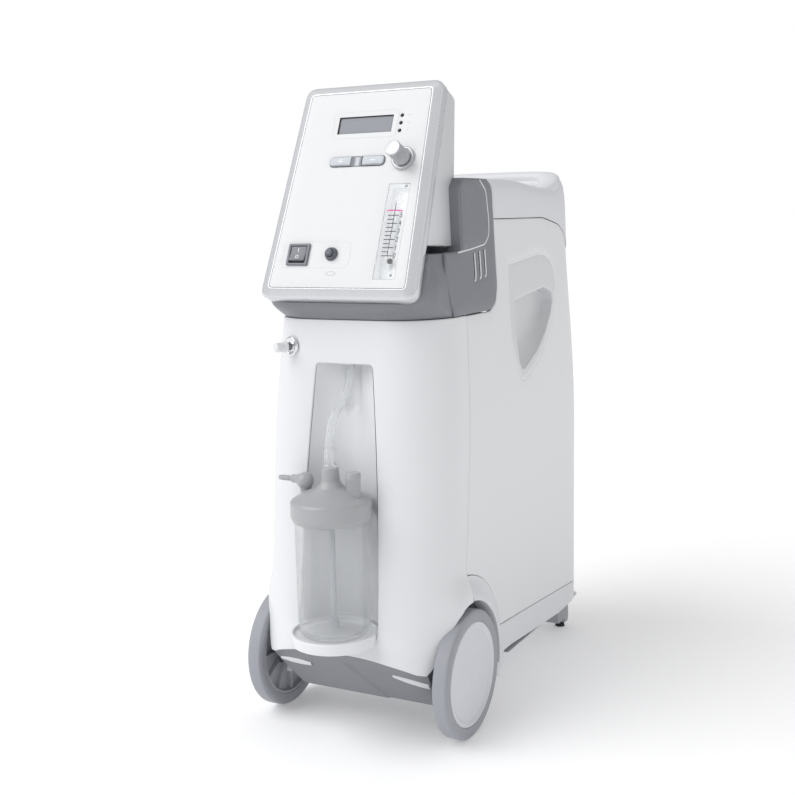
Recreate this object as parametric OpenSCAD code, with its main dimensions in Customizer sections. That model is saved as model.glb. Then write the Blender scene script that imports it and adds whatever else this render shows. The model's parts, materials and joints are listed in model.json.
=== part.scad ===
// Floor-standing oxygen concentrator: a casing on two front wheels and two rear feet,
// a leaning console with the controls, and a humidifier jar in a niche in its front.
// Origin: centre of the bounding box, on the floor. +Z up, the front faces -Y. Millimetres.

/* [Overall] */
// Height from the floor to the top of the console frame
height = 700; // [640:5:800]
// Depth from the front of the jar tray to the back of the casing
depth = 520; // [480:5:620]
// Width of the casing below its waist
base_w = 222; // [200:2:260]
// Width of the casing at the shoulder, under the handle
shoulder_w = 192; // [180:2:210]

/* [Casing] */
// Thickness of the moulded casings
wall = 2.5; // [2:0.1:4]
// Gap at the seams between casings
seam = 0.6; // [0.4:0.1:1.5]
// Height of the console's top above the seam between front casing and console cowl
console_rise = 246; // [236:2:256]
// Height of the console's top above the seam under the top cover
cover_rise = 145; // [138:1:152]
// Height of the underside of the casing
belly_z = 44; // [36:1:56]
// Height of the front casing's lower edge in the middle
lip_z = 100; // [90:1:110]
// Radius of the two front corners
front_r = 60; // [40:1:70]
// Radius of the two rear corners
rear_r = 40; // [25:1:50]
// How far the front face leans back between its lower edge and the waist
front_lean = 34; // [15:1:45]
// Height of the handle bar above the top cover's seam
handle_h = 61; // [50:1:70]
// Radius of the handle bar
handle_r = 14; // [11:0.5:17]

/* [Console] */
// Length of the console frame, along its slope
panel_l = 243.4; // [220:1:270]
// Width of the console frame at the bottom
panel_w = 184.8; // [160:1:200]
// Width of the console frame at the top
panel_top_w = 166.3; // [140:1:190]
// Angle at which the console leans back
panel_lean = 23.4; // [10:0.2:30]
// Width of the console frame's border
border = 11; // [7:0.5:16]
// Thickness of the console frame
frame_t = 12; // [9:0.5:16]
// How far the white plate stands in front of the frame's edge
plate_rise = 4; // [2:0.5:6]

/* [Controls] */
// Display window width
lcd_w = 65; // [50:1:80]
// Display window height
lcd_h = 19.5; // [14:0.5:24]
// Length of one key
key_l = 27; // [20:0.5:30]
// Height of the keys
key_h = 11; // [8:0.5:14]
// Flow knob diameter at its foot
knob_d = 18; // [14:0.5:22]
// Flow knob length
knob_l = 25; // [18:0.5:30]
// Flowmeter block width
meter_w = 24.5; // [20:0.5:28]
// Flowmeter block length
meter_l = 104; // [90:1:110]
// Float ball diameter
ball_d = 6; // [4:0.5:8]
// Switch bezel width
switch_w = 25.8; // [22:0.1:28]
// Switch bezel height
switch_h = 24; // [21:0.1:26]
// Swing of the rocker between on and off
rocker_swing = 18; // [12:1:24]
// Breaker collar diameter
breaker_d = 14.6; // [12:0.2:17]
// Breaker button diameter
button_d = 8; // [6:0.2:10]

/* [Humidifier] */
// Lid diameter
lid_d = 85.6; // [80:0.2:90]
// Height of the lid's ring
lid_ring_h = 17.5; // [14:0.5:22]
// Jar diameter under the lid
jar_d = 78; // [72:0.5:80]
// Jar diameter at the bottom
jar_foot_d = 75.8; // [70:0.2:78]
// Height of the jar
jar_h = 138; // [120:1:145]
// Jar wall thickness
jar_wall = 2; // [1.5:0.1:3]
// Radius of the tray and of the niche behind the jar
tray_r = 47; // [45:0.5:52]
// Height of the tray's floor
tray_z = 125; // [118:1:135]
// Hose outer diameter
hose_d = 9.5; // [8:0.5:10]

/* [Wheels and feet] */
// Wheel diameter
wheel_d = 140; // [125:1:150]
// Width of the tyre
tyre_w = 18; // [14:0.5:24]
// Width over the outer faces of the wheels
track_w = 247.4; // [240:1:280]
// Height of the tyre's side round the hubcap
tyre_side = 14.5; // [13:0.5:22]
// Axle diameter
axle_d = 12; // [8:0.5:14]
// Number of ribs on the inside of a wheel
rib_n = 12; // [6:1:18]
// Distance between the middles of the rear feet
foot_gap = 170; // [140:2:190]
// Height of the rubber pads under the feet
pad_h = 7; // [4:0.5:12]

/* [Hidden] */
$fn = 48;

big = 1000;                     // larger than the whole object
touch = 0.01;                   // keeps cuts from ending on a face
slide_gap = 0.3;                // clearance round pieces that slide or turn
bore_gap = 0.05;                // running clearance of a shaft in its bore
waist_z = height - console_rise;
cover_z = height - cover_rise;
front_y = -depth / 2;
back_y = depth / 2;
wheel_r = wheel_d / 2;
cap_d = wheel_d - 2 * tyre_side;
axle_y = front_y + 129;
jar_y = front_y + tray_r;
face_y = front_y + 51;          // front face of the casing at its lower edge
seam_back = 82;                 // the side seam lies this far behind the front face
arch_r = wheel_r + 11;
arch_x = 104;                   // inner wall of the wheel arches
fender_x = track_w / 2 - 2;     // outer edge of the fenders

// ---- Shape of the casing -------------------------------------------------------------

function mix(a, b, t) = a + (b - a) * t;
function ramp(t) = t <= 0 ? 0 : t >= 1 ? 1 : (1 - cos(180 * t)) / 2;
function front_at(z) = face_y + front_lean * (z - lip_z) / (waist_z - lip_z);
function half_w(z) = mix(base_w, shoulder_w, ramp((z - 290) / 310)) / 2;
function arc(cx, cy, r, a0, a1, n) =
    [for (i = [0 : n]) let (a = mix(a0, a1, i / n)) [cx + r * cos(a), cy + r * sin(a)]];
// Plan of the casing at height z, counter-clockwise, with its front face at yf
function plan(w, yf, yr, rf, rr) = concat(
    arc(-w + rf, yf + rf, rf, 180, 270, 7), arc(w - rf, yf + rf, rf, 270, 360, 7),
    arc(w - rr, yr - rr, rr, 0, 90, 5), arc(-w + rr, yr - rr, rr, 90, 180, 5));
function case_plan(z, inset) =
    plan(half_w(z) - inset, front_at(z) + inset, back_y - inset, front_r - inset, rear_r - inset);

// A closed solid through a stack of equal rings: rings is a list of [z, points]
module loft(rings) {
    n = len(rings[0][1]);
    last = len(rings) - 1;
    points = [for (r = rings) each [for (p = r[1]) [p[0], p[1], r[0]]]];
    sides = [for (k = [0 : last - 1], j = [0 : n - 1])
        let (a = k * n + j, b = k * n + (j + 1) % n)
        each [[a, a + n, b + n], [a, b + n, b]]];
    bottom = [for (j = [0 : n - 1]) j];
    top = [for (j = [n - 1 : -1 : 0]) last * n + j];
    polyhedron(points, concat([bottom], sides, [top]), convexity = 8);
}

// The casing's outer form between two heights, moved in by inset
module case_form(z0, z1, inset, steps = 8)
    loft([for (i = [0 : steps]) let (z = mix(z0, z1, i / steps)) [z, case_plan(z, inset)]]);

// A prism across the whole width from an outline in Y and Z
module across(outline, w = big)
    rotate([90, 0, 90]) linear_extrude(w, center = true) polygon(outline);

// Turns a moulded form into one continuous skin, at its own size
module skin() resize([0, 0, 0]) children();

// All that lies in front of the side seam, less gap
module ahead_of_seam(gap) across([[-big, -touch], [front_at(-10) + seam_back - gap, -10],
    [front_at(big) + seam_back - gap, big], [-big, big]]);

// The slanting lower seam of the side casings
base_seam_front = 93;
base_seam_back = 69;
function base_seam(y) = mix(base_seam_front, base_seam_back, (y - axle_y - 82) / (back_y - axle_y - 82));
module below_base_seam(gap) across([[-big, -big], [big, -big], [big, base_seam(big) - gap],
    [-big, base_seam(-big) - gap]]);

// Wheel arches and the fenders round them
module arch_cut(r = arch_r) for (s = [-1, 1]) translate([s * (arch_x + 50), axle_y, wheel_r])
    rotate([0, 90, 0]) cylinder(h = 100, r = r, center = true);
module arch_wall() for (s = [-1, 1]) translate([s * arch_x, axle_y, wheel_r])
    rotate([0, s * 90, 0]) translate([0, 0, -wall]) cylinder(h = wall, r = arch_r + wall);
fender_r = arch_r + 24;
module fender() intersection() {
    for (s = [-1, 1]) translate([s * (base_w / 2 - 4), axle_y, wheel_r]) rotate([0, s * 90, 0])
        cylinder(h = fender_x - base_w / 2 + 4, r1 = fender_r, r2 = arch_r + 7);
    loft([for (z = [belly_z, 110, 190]) [z, plan(fender_x + 1, front_at(z) + 8, back_y, 75, rear_r)]]);
}

// ---- Niche for the humidifier --------------------------------------------------------

niche_top = 408;
niche_floor = tray_z - 9;
channel_r = 11.5;
channel_y = jar_y + 48;
channel_z = 362;
function circle_at(y, r) = [for (a = [0 : 12 : 359]) [r * cos(a), y + r * sin(a)]];
function niche_ring(z, grow) = let (t = ramp((z - 280) / 190))
    circle_at(mix(jar_y, jar_y + 26, t), mix(tray_r + 1, tray_r - 14, t) + grow);
module niche_form(grow) {
    z0 = niche_floor - grow;
    z1 = niche_top + grow;
    loft([for (i = [0 : 8]) let (z = mix(z0, z1, i / 8)) [z, niche_ring(z, grow)]]);
    translate([0, channel_y, channel_z]) cylinder(h = z1 - channel_z, r = channel_r + grow, $fn = 32);
    translate([0, channel_y, channel_z]) sphere(r = channel_r + grow, $fn = 32);
}

// ---- Nebuliser outlet, on the rounded left front corner -------------------------------

outlet_z = 424;
outlet_plate_r = 10.6;
outlet_turn = 21;
outlet_x = -(half_w(outlet_z) - front_r) - front_r * sin(outlet_turn);
outlet_y = front_at(outlet_z) + front_r * (1 - cos(outlet_turn));
// Local +Z points out of the casing here
module at_outlet() translate([outlet_x, outlet_y, outlet_z])
    rotate([0, 0, -outlet_turn]) rotate([90, 0, 0]) children();

// ---- Casings -------------------------------------------------------------------------

// Height of the front casing's lower edge, which drops towards the corners
lip_drop = 16;
corner_x = 96;
function lip_at(x) = lip_z - lip_drop * pow(abs(x) / corner_x, 3);
module lower_edge_cut() rotate([90, 0, 0]) linear_extrude(big, center = true)
    polygon(concat([for (i = [-6 : 6]) let (x = corner_x * i / 6) [x, lip_at(x)]],
        [[140, lip_z - lip_drop], [140, -big], [-140, -big], [-140, lip_z - lip_drop]]));
module axle_hole() translate([0, axle_y, wheel_r]) rotate([0, 90, 0])
    cylinder(h = track_w, r = axle_d / 2 + 1, center = true);

module front_casing() color([0.93, 0.93, 0.94]) skin() difference() {
    intersection() {
        union() {
            difference() {
                case_form(40, waist_z, 0, 10);
                case_form(39, waist_z - wall, wall, 10);
            }
            intersection() {
                case_form(40, waist_z, 0, 10);
                union() {
                    niche_form(wall);
                    arch_wall();
                }
            }
            difference() {
                fender();
                case_form(39, waist_z, wall, 10);
            }
        }
        ahead_of_seam(seam / 2);
    }
    niche_form(0);
    arch_cut();
    axle_hole();
    lower_edge_cut();
    at_outlet() cylinder(h = 40, r = 5.2, center = true);
    at_outlet() cylinder(h = 20, r = outlet_plate_r + slide_gap);
    translate([0, channel_y, niche_top - 5]) cylinder(h = 20, r = 5.2);
}

// One side: x > 0 of the form behind the seam, cut round the grip, the cowl cover and the rear panel
panel_half = base_w / 2 - rear_r + 4;
cowl_back_y = axle_y + 127;
// Grip pocket in Y and Z: its mouth, and the smaller floor deep under the ledge
grip_mouth = [[39, 460], [41, 414], [46, 388], [52, 380], [60, 379], [76, 385], [107, 398],
    [134, 416], [157, 437], [167, 452], [166, 463], [141, 470]];
grip_floor = [[44, 458], [50, 428], [62, 424], [148, 438], [160, 450], [159, 462], [141, 468]];
grip_depth = 18;
module grip_slice(points, x, t, grow) rotate([90, 0, 90]) translate([0, 0, x])
    linear_extrude(t) offset(delta = grow) polygon(points);
module grip_pocket(grow) {
    x = half_w(380);
    hull() {
        grip_slice(grip_floor, half_w(450) - grip_depth - grow, 1, grow);
        grip_slice(grip_mouth, x, 0.1, grow);
    }
    grip_slice(grip_mouth, x, 15, grow);
}
module side_form() difference() {
    union() {
        difference() {
            case_form(60, cover_z + 1, 0, 10);
            case_form(59, cover_z + 2, wall, 10);
        }
        intersection() {
            case_form(60, cover_z + 1, 0, 10);
            grip_pocket(wall);
        }
    }
    ahead_of_seam(-seam / 2);
    below_base_seam(-seam / 2);
    grip_pocket(0);
    cowl_cut(seam);
    fender_zone(seam);
    above_cover_seam(seam / 2);
    translate([-big, -big, 0]) cube([big + panel_half + seam, 2 * big, big]);
}
// The seam under the top cover drops towards the back
cover_drop = 51;
module above_cover_seam(gap) across([[-big, cover_z - gap], [back_y - 126, cover_z - gap],
    [back_y - 83, cover_z - 9 - gap], [back_y - 46, cover_z - 17 - gap],
    [back_y - 26, cover_z - 36 - gap], [back_y + 1, cover_z - cover_drop - gap],
    [big, cover_z - cover_drop - gap], [big, big], [-big, big]]);
// Room for the grey cowl and its covers
module cowl_cut(gap) across([[-big, waist_z - gap], [cowl_back_y - 22, waist_z - gap],
    [cowl_back_y + gap - 6, waist_z + 12], [cowl_back_y + gap, waist_z + 40],
    [cowl_back_y + gap, cover_z + 12], [cowl_back_y - 12, big], [-big, big]]);
// Room for the fenders, which belong to the base pan behind the seam
module fender_zone(gap) translate([0, axle_y, wheel_r]) rotate([0, 90, 0])
    cylinder(h = big, r = fender_r + gap, center = true);
module right_side_casing() color([0.90, 0.90, 0.91]) skin() side_form();
module left_side_casing() color([0.90, 0.90, 0.91]) skin() mirror([1, 0, 0]) side_form();

module base_pan() color([0.88, 0.88, 0.90]) skin() difference() {
    intersection() {
        union() {
            difference() {
                case_form(belly_z, 200, 0, 6);
                case_form(belly_z + wall, 201, wall, 6);
            }
            difference() {
                fender();
                case_form(belly_z + wall, 201, wall + 1, 6);
            }
            intersection() {
                case_form(belly_z, 200, 0, 6);
                arch_wall();
            }
        }
        union() {
            below_base_seam(seam / 2);
            fender_zone(0);
        }
    }
    ahead_of_seam(-seam / 2);
    arch_cut();
    axle_hole();
    across([[back_y - 14, belly_z - 1], [back_y + 1, belly_z - 1], [back_y + 1, belly_z + 6]]);
}

// Grey apron that slopes back from the front casing's lower edge
apron_back = 48;
module apron(shift) hull() {
    translate([-corner_x, face_y + 4 + shift, lip_z - 10]) cube([2 * corner_x, 60, 6]);
    translate([-corner_x, face_y + apron_back + shift, belly_z - 6]) cube([2 * corner_x, 30, 3]);
}
module front_underside() color([0.53, 0.54, 0.57]) skin() difference() {
    intersection() {
        apron(0);
        case_form(30, 150, wall + seam, 4);
    }
    apron(wall + 1);
    axle_hole();
}

// Rear panel with louvres and the mains inlet's opening
inlet_z = 118;
inlet_w = 28;
inlet_h = 20;
filter_z = 400;
filter_w = 110;
filter_h = 90;
module rear_panel() color([0.90, 0.90, 0.91]) difference() {
    translate([-panel_half, back_y - wall - 1.5, base_seam_back + 2])
        cube([2 * panel_half, wall, cover_z - cover_drop - seam - base_seam_back - 2]);
    for (i = [0 : 9]) translate([-50, back_y - 10, 160 + 14 * i]) cube([100, 10, 6]);
    translate([-inlet_w / 2, back_y - 10, inlet_z - inlet_h / 2]) cube([inlet_w, 10, inlet_h]);
    translate([-filter_w / 2 + 6, back_y - 10, filter_z - filter_h / 2 + 6])
        cube([filter_w - 12, 10, filter_h - 12]);
}

// Top cover: shoulders, a hand pocket and the handle bar behind it
handle_y = back_y - 24;
handle_z = cover_z + handle_h - handle_r;
module top_cover() color([0.91, 0.91, 0.92]) skin() difference() {
    intersection() {
        union() {
            difference() {
                cover_form(0);
                cover_form(wall);
            }
            intersection() {
                cover_form(0);
                translate([0, 0, -wall]) hand_pocket(wall);
            }
            handle_bars();
        }
        above_cover_seam(-seam / 2);
    }
    hand_pocket(0);
    cowl_cut(seam);
}
module cover_form(inset) loft([
    for (s = [[-cover_drop - 5, 0], [-20, 0], [0, 0], [25, 1], [35, 4], [41, 9], [45, 16]])
        [cover_z + s[0] - (s[0] > 10 ? inset : s[0] < -30 ? (inset > 0 ? 1 : 0) : 0),
            plan(half_w(cover_z + s[0]) - s[1] - inset, front_at(cover_z) + 60,
            back_y - s[1] - inset, front_r - 20, rear_r - inset / 2)]]);
module hand_pocket(grow) hull() for (x = [-1, 1], y = [axle_y + 180, handle_y - handle_r - 8])
    translate([x * 62, y, cover_z + 17]) cylinder(h = 80, r = 8 + grow, $fn = 24);
module handle_bars() {
    hull() for (x = [-1, 1]) translate([x * 62, handle_y, handle_z]) sphere(r = handle_r, $fn = 32);
    for (x = [-1, 1]) hull() {
        translate([x * 62, handle_y, handle_z]) sphere(r = handle_r, $fn = 32);
        translate([x * 76, axle_y + 150, cover_z + 33]) sphere(r = 10, $fn = 32);
    }
}

// ---- Console -------------------------------------------------------------------------

panel_y = front_y + 64.7;
panel_z = height - panel_l * cos(panel_lean);
// Local X across, Y up the slope, Z out of the panel, from the middle of the frame's lower edge
module at_panel() translate([0, panel_y, panel_z]) rotate([90 - panel_lean, 0, 0]) children();
function panel_half_w(s) = mix(panel_w, panel_top_w, s / panel_l) / 2;
// Rounded trapezoid like the frame's outline, moved in by e
module panel_outline(e, r) {
    hull() for (x = [-1, 1], s = [e + r, panel_l - e - r])
        translate([x * (panel_half_w(s) - e - r), s]) circle(r = r, $fn = 40);
}

// Wedge-shaped housing behind the frame, open towards it
housing_back = panel_y + 101;
module housing_form(grow, front) intersection() {
    at_panel() translate([0, 0, -140]) linear_extrude(140 + front) panel_outline(3 - grow, 9);
    across([[panel_y - 50, panel_z + 54.5 - grow], [housing_back - 4 + grow, panel_z + 50.5 - grow],
        [panel_y + 128 + grow, panel_z + 204], [panel_y + 122, height - 13 + grow],
        [panel_y - 50, height - 13 + grow]]);
}
module console_housing() color([0.88, 0.89, 0.90]) skin() difference() {
    housing_form(0, -frame_t - seam);
    housing_form(-wall, 10);
}

// Grey cowl between the casing and the console: plan rings, then its side outline
function cowl_plan(s, inset) = plan(s[1] - inset, s[2] + inset, cowl_back_y + 60, s[3] - inset / 2, 30);
cowl_top = waist_z + 145;
cowl_step_z = waist_z + 68;     // top of the cowl beside the console housing
cowl_stations = [[waist_z, half_w(waist_z), front_at(waist_z), front_r],
    [waist_z + 6, half_w(waist_z) - 0.3, front_at(waist_z) - 7, 52],
    [waist_z + 13, half_w(waist_z) - 0.6, panel_y + 9, 42],
    [waist_z + 20, half_w(waist_z) - 1, panel_y + 6, 34],
    [waist_z + 66, half_w(waist_z + 66), panel_y + 10, 30],
    [cowl_top, half_w(cowl_top), panel_y + 44, 30]];
cowl_block_y = panel_y + 87;    // front of the raised part behind the console
function cowl_foot(e) = waist_z + seam / 2 - (e > 0 ? 1 : 0);
function cowl_outline(e) = [[-big, cowl_foot(e)], [cowl_back_y - 22, cowl_foot(e)],
    [cowl_back_y - 6 - seam, waist_z + 12], [cowl_back_y - seam, waist_z + 40],
    [cowl_back_y - seam, cover_z + 12], [cowl_back_y - 6, cowl_top - 5 - e],
    [cowl_back_y - 16, cowl_top - e], [cowl_block_y + 11 + e, cowl_top - e],
    [cowl_block_y + e, cowl_top - 10 - e], [cowl_block_y + e, cowl_step_z - e],
    [-big, cowl_step_z - e]];
module cowl_form(e) intersection() {
    loft([for (s = cowl_stations) [s[0], cowl_plan(s, e)]]);
    at_panel() translate([-big / 2, -big / 2, -big - frame_t - seam - e]) cube([big, big, big]);
    across(cowl_outline(e));
}
module cowl_shell() difference() {
    cowl_form(0);
    cowl_form(wall);
    housing_form(seam, 10);
}
cover_seam_y = panel_y + 58;
module cowl_side_block(gap) across([[cover_seam_y + 15 - gap, waist_z - 9],
    [cover_seam_y + 7 - gap, waist_z + 19], [cover_seam_y - gap, waist_z + 47],
    [cover_seam_y + 3 - gap, cowl_step_z + 9], [cover_seam_y + 3 - gap, height],
    [big, height], [big, waist_z - 9]]);
module cowl_sides(gap) intersection() {
    cowl_side_block(gap);
    for (s = [-1, 1]) translate([s * (80 - gap + big / 2), 0, 0]) cube([big, big, 2 * big], center = true);
}
module console_cowl() color([0.50, 0.51, 0.54]) skin() difference() {
    cowl_shell();
    at_panel() translate([0, 0, -40]) linear_extrude(60) panel_outline(border + 4, 5);
    cowl_sides(seam / 2);
}
slot_h = 26;
module cowl_cover_form() difference() {
    intersection() {
        cowl_shell();
        cowl_sides(-seam / 2);
        translate([0, -big / 2, 0]) cube(big);
    }
    for (i = [0 : 2]) translate([80, cowl_back_y - 60 + 14 * i, waist_z + 38 + 1.5 * i])
        cube([40, 1.8, slot_h]);
}
module right_cowl_cover() color([0.47, 0.48, 0.51]) skin() cowl_cover_form();
module left_cowl_cover() color([0.47, 0.48, 0.51]) skin() mirror([1, 0, 0]) cowl_cover_form();

// Places on the panel: X across, then distance up the slope from the frame's lower edge
lcd_at = [0, 194.3];
light_x = 42.9;
light_s = [185.3, 194, 202.6];
keys_at = [-1, 152];
knob_at = [53.5, 153];
meter_margin = 14.35;           // plate left between the flowmeter and the frame
meter_at = [panel_w / 2 - border - meter_w / 2 - meter_margin, 73];
switch_at = [-51, 47.4];
breaker_at = [-11, 48];
plate_t = 2.5;
face = plate_rise;              // height of the plate's front above the frame's edge

module block(at, w, h, z0, z1, r = 0) translate([at[0], at[1], z0]) linear_extrude(z1 - z0)
    if (r > 0) rounded(w, h, r); else square([w, h], center = true);
module rounded(w, h, r) union() {
    square([w - 2 * r, h], center = true);
    if (h > 2 * r) square([w, h - 2 * r], center = true);
    for (x = [-1, 1], y = [-1, 1]) translate([x * (w / 2 - r), y * (h / 2 - r)]) circle(r = r);
}

module console_frame() color([0.78, 0.79, 0.80]) at_panel() skin() difference() {
    union() {
        translate([0, 0, -frame_t]) linear_extrude(frame_t) panel_outline(0, 13);
        hull() {
            translate([0, 0, -touch]) linear_extrude(touch) panel_outline(0, 13);
            translate([0, 0, face - 0.6]) linear_extrude(touch) panel_outline(border - 2, 6);
        }
    }
    translate([0, 0, -frame_t - 1]) linear_extrude(30) panel_outline(border, 5);
}

module panel_plate() color([0.95, 0.95, 0.95]) at_panel() difference() {
    translate([0, 0, face - plate_t]) linear_extrude(plate_t)
        panel_outline(border + seam / 2, 5);
    block(lcd_at, lcd_w, lcd_h, -20, 20);
    for (s = light_s) translate([light_x, s, -20]) cylinder(h = 40, r = 2);
    block(keys_at, 2 * key_l + 12 + seam, key_h + seam, -20, 20, key_h / 2);
    translate([knob_at[0], knob_at[1], -20]) cylinder(h = 40, r = knob_d / 2 + 3.1);
    block(meter_at, meter_w + seam, meter_l + seam, -20, 20);
    block(switch_at, switch_w - 3, switch_h - 3, -20, 20);
    translate([breaker_at[0], breaker_at[1], -20]) cylinder(h = 40, r = breaker_d / 2 - 2);
}
module display_window() color([0.47, 0.49, 0.52]) at_panel()
    block(lcd_at, lcd_w - 0.2, lcd_h - 0.2, face - 5, face - 0.8);
module indicator_lights() color([0.15, 0.15, 0.16]) at_panel()
    for (s = light_s) translate([light_x, s, face - 5]) cylinder(h = 5.4, r = 1.9);

// Two keys with a fixed hollow saddle between them
module key_half() difference() {
    block([0, 0], 2 * key_l + 12, key_h, face - 3, face + 2.2, key_h / 2);
    translate([-6 - slide_gap, -20, -10]) cube([60, 40, 30]);
}
module minus_key() color([0.80, 0.81, 0.83]) at_panel() translate([keys_at[0], keys_at[1], 0])
    mirror([1, 0, 0]) key_half();
module plus_key() color([0.80, 0.81, 0.83]) at_panel() translate([keys_at[0], keys_at[1], 0])
    key_half();
module key_saddle() color([0.74, 0.75, 0.77]) at_panel() translate([keys_at[0], keys_at[1], 0])
    difference() {
        translate([-6, -key_h / 2, face - 3]) cube([12, key_h, 4.6]);
        translate([0, -20, face + 8.6]) rotate([-90, 0, 0]) cylinder(h = 40, r = 8);
    }

// Flow control: a collar fixed in the plate and a fluted knob on a spindle
module knob_collar() color([0.72, 0.73, 0.75]) at_panel() translate([knob_at[0], knob_at[1], 0])
    difference() {
        union() {
            translate([0, 0, face]) cylinder(h = 3, r = knob_d / 2 + 4);
            translate([0, 0, face - 14]) cylinder(h = 15, r = knob_d / 2 + 3);
        }
        translate([0, 0, face - 15]) cylinder(h = 30, r = 3 + bore_gap);
        translate([0, 0, face + 1.5]) cylinder(h = 5, r = knob_d / 2 + slide_gap);
    }
module flow_knob() color([0.80, 0.81, 0.82]) at_panel() translate([knob_at[0], knob_at[1], 0])
    difference() {
        union() {
            translate([0, 0, face + 2]) cylinder(h = knob_l, r = knob_d / 2);
            translate([0, 0, face - 12]) cylinder(h = 15, r = 3);
        }
        for (i = [0 : 11]) rotate([0, 0, 30 * i]) translate([knob_d / 2 + 0.4, 0, face + 7])
            cylinder(h = knob_l, r = 1.2);
    }

// Flowmeter: a clear block with a bored tube and a ball float in it
bore_d = ball_d + 2 * slide_gap;
float_travel = 56;
float_s = 42.7;
ball_z = -3;
module flowmeter_block() color([0.85, 0.88, 0.90, 0.5]) at_panel() difference() {
    block(meter_at, meter_w, meter_l, face - 16, face + 1.5);
    translate([meter_at[0], float_s - ball_d / 2 - slide_gap, ball_z]) rotate([-90, 0, 0])
        cylinder(h = float_travel + bore_d, r = bore_d / 2);
}
module flow_float() color([0.08, 0.08, 0.09]) at_panel()
    translate([meter_at[0], float_s, ball_z]) sphere(r = ball_d / 2);

// Power switch: a bezel with a rocker that swings on its pin
rocker_w = switch_w - 7;
rocker_h = switch_h - 7;
rocker_z = face - 3;
module switch_bezel() color([0.45, 0.46, 0.49]) at_panel() translate([switch_at[0], switch_at[1], 0])
    difference() {
        union() {
            translate([-switch_w / 2, -switch_h / 2, face]) cube([switch_w, switch_h, 2.5]);
            translate([-switch_w / 2 + 2, -switch_h / 2 + 2, face - 20])
                cube([switch_w - 4, switch_h - 4, 21]);
        }
        translate([-rocker_w / 2 - slide_gap, -rocker_h / 2 - 1.2, face - 13])
            cube([rocker_w + 2 * slide_gap, rocker_h + 2.4, 30]);
        translate([0, 0, rocker_z]) rotate([0, 90, 0])
            cylinder(h = rocker_w + 4, r = 1.5 + bore_gap, center = true);
    }
// The rocker at rest has its upper end pressed in
module power_rocker() color([0.48, 0.49, 0.52]) at_panel()
    translate([switch_at[0], switch_at[1], rocker_z]) rotate([-rocker_swing / 2, 0, 0]) {
        rotate([90, 0, 90]) linear_extrude(rocker_w, center = true)
            polygon([[-rocker_h / 2 + 0.6, 0.5], [-rocker_h / 2 + 0.3, 6], [0, 4.6],
                [rocker_h / 2 - 0.3, 6], [rocker_h / 2 - 0.6, 0.5], [3, -4], [-3, -4]]);
        rotate([0, 90, 0]) cylinder(h = rocker_w + 3, r = 1.5, center = true);
    }

// Resettable breaker
module breaker_body() color([0.42, 0.43, 0.46]) at_panel() translate([breaker_at[0], breaker_at[1], 0])
    difference() {
        union() {
            translate([0, 0, face]) cylinder(h = 4, r1 = breaker_d / 2, r2 = breaker_d / 2 - 1.2);
            translate([0, 0, face - 16]) cylinder(h = 17, r = breaker_d / 2 - 2.3);
        }
        translate([0, 0, face - 5]) cylinder(h = 20, r = button_d / 2 + slide_gap / 2);
    }
module breaker_button() color([0.34, 0.35, 0.38]) at_panel()
    translate([breaker_at[0], breaker_at[1], face - 2]) cylinder(h = 9, r = button_d / 2);

// ---- Outlets and hose ----------------------------------------------------------------

module nebuliser_plate() color([0.90, 0.91, 0.92]) at_outlet() translate([0, 0, 0.1]) difference() {
    cylinder(h = 3.4, r = outlet_plate_r);
    translate([0, 0, -1]) cylinder(h = 10, r = 4);
}
nozzle_r = 3;
module nebuliser_nozzle() color([0.35, 0.36, 0.38]) at_outlet() {
    translate([0, 0, -16]) cylinder(h = 20, r = 4 - touch);
    translate([0, 0, 4]) cylinder(h = 12, r = nozzle_r);
}
module nebuliser_cap() color([0.93, 0.94, 0.95]) at_outlet() difference() {
    union() {
        translate([0, 0, 10]) cylinder(h = 13, r = 5.2);
        translate([0, 0, 8.5]) cylinder(h = 3, r = 6);
    }
    translate([0, 0, 8]) cylinder(h = 10, r = nozzle_r + bore_gap);
}

// Hose route in the middle plane, from the nozzle in the niche's ceiling to the connector
lid_z = tray_z + 1 + jar_h - 12;          // underside of the lid's ring
boss_z = lid_z + lid_ring_h + 35;
connector_h = 20;
hose_top = 406;
// Route in the middle plane, Y and Z, down from the nozzle to the connector
HOSE = [[-165, 406], [-165, 403.5], [-165.5, 399], [-166.2, 394.5], [-167.5, 390], [-169, 386],
    [-171, 382], [-173.5, 378.5], [-176.5, 375], [-180, 371.5], [-184, 368.5], [-189, 365.4],
    [-194, 362.3], [-198, 359.3], [-201.5, 355.8], [-204.5, 352.3], [-207, 348.8], [-209, 344.8],
    [-210.5, 340.8], [-211.8, 336.3], [-212.5, 331.8], [-213, 327.3], [-213, 324.8]];
hose_n = len(HOSE) - 1;
function hose_at(i) = [0, HOSE[i][0], HOSE[i][1]];
function hose_dir(i) = i == 0 || i == hose_n ? [0, 0, -1]
    : let (d = hose_at(i + 1) - hose_at(i - 1)) d / norm(d);
module tube(r) {
    n = 12;
    points = [for (i = [0 : hose_n]) let (p = hose_at(i), d = hose_dir(i), u = [1, 0, 0],
        v = cross(d, u)) each [for (k = [0 : n - 1])
        p + r * (u * cos(360 * k / n) + v * sin(360 * k / n))]];
    sides = [for (i = [0 : hose_n - 1], k = [0 : n - 1])
        let (a = i * n + k, b = i * n + (k + 1) % n) each [[a, a + n, b + n], [a, b + n, b]]];
    polyhedron(points, concat([[for (k = [0 : n - 1]) k]], sides,
        [[for (k = [n - 1 : -1 : 0]) hose_n * n + k]]));
}
module humidifier_hose() color([0.90, 0.92, 0.92, 0.6]) tube(hose_d / 2);
module hose_nozzle() color([0.90, 0.90, 0.92]) translate([0, channel_y, hose_top])
    cylinder(h = 22, r = 5);
module hose_connector() color([0.90, 0.92, 0.92, 0.6]) translate([0, jar_y, boss_z])
    cylinder(h = connector_h, r1 = 7, r2 = 5.6);

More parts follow.
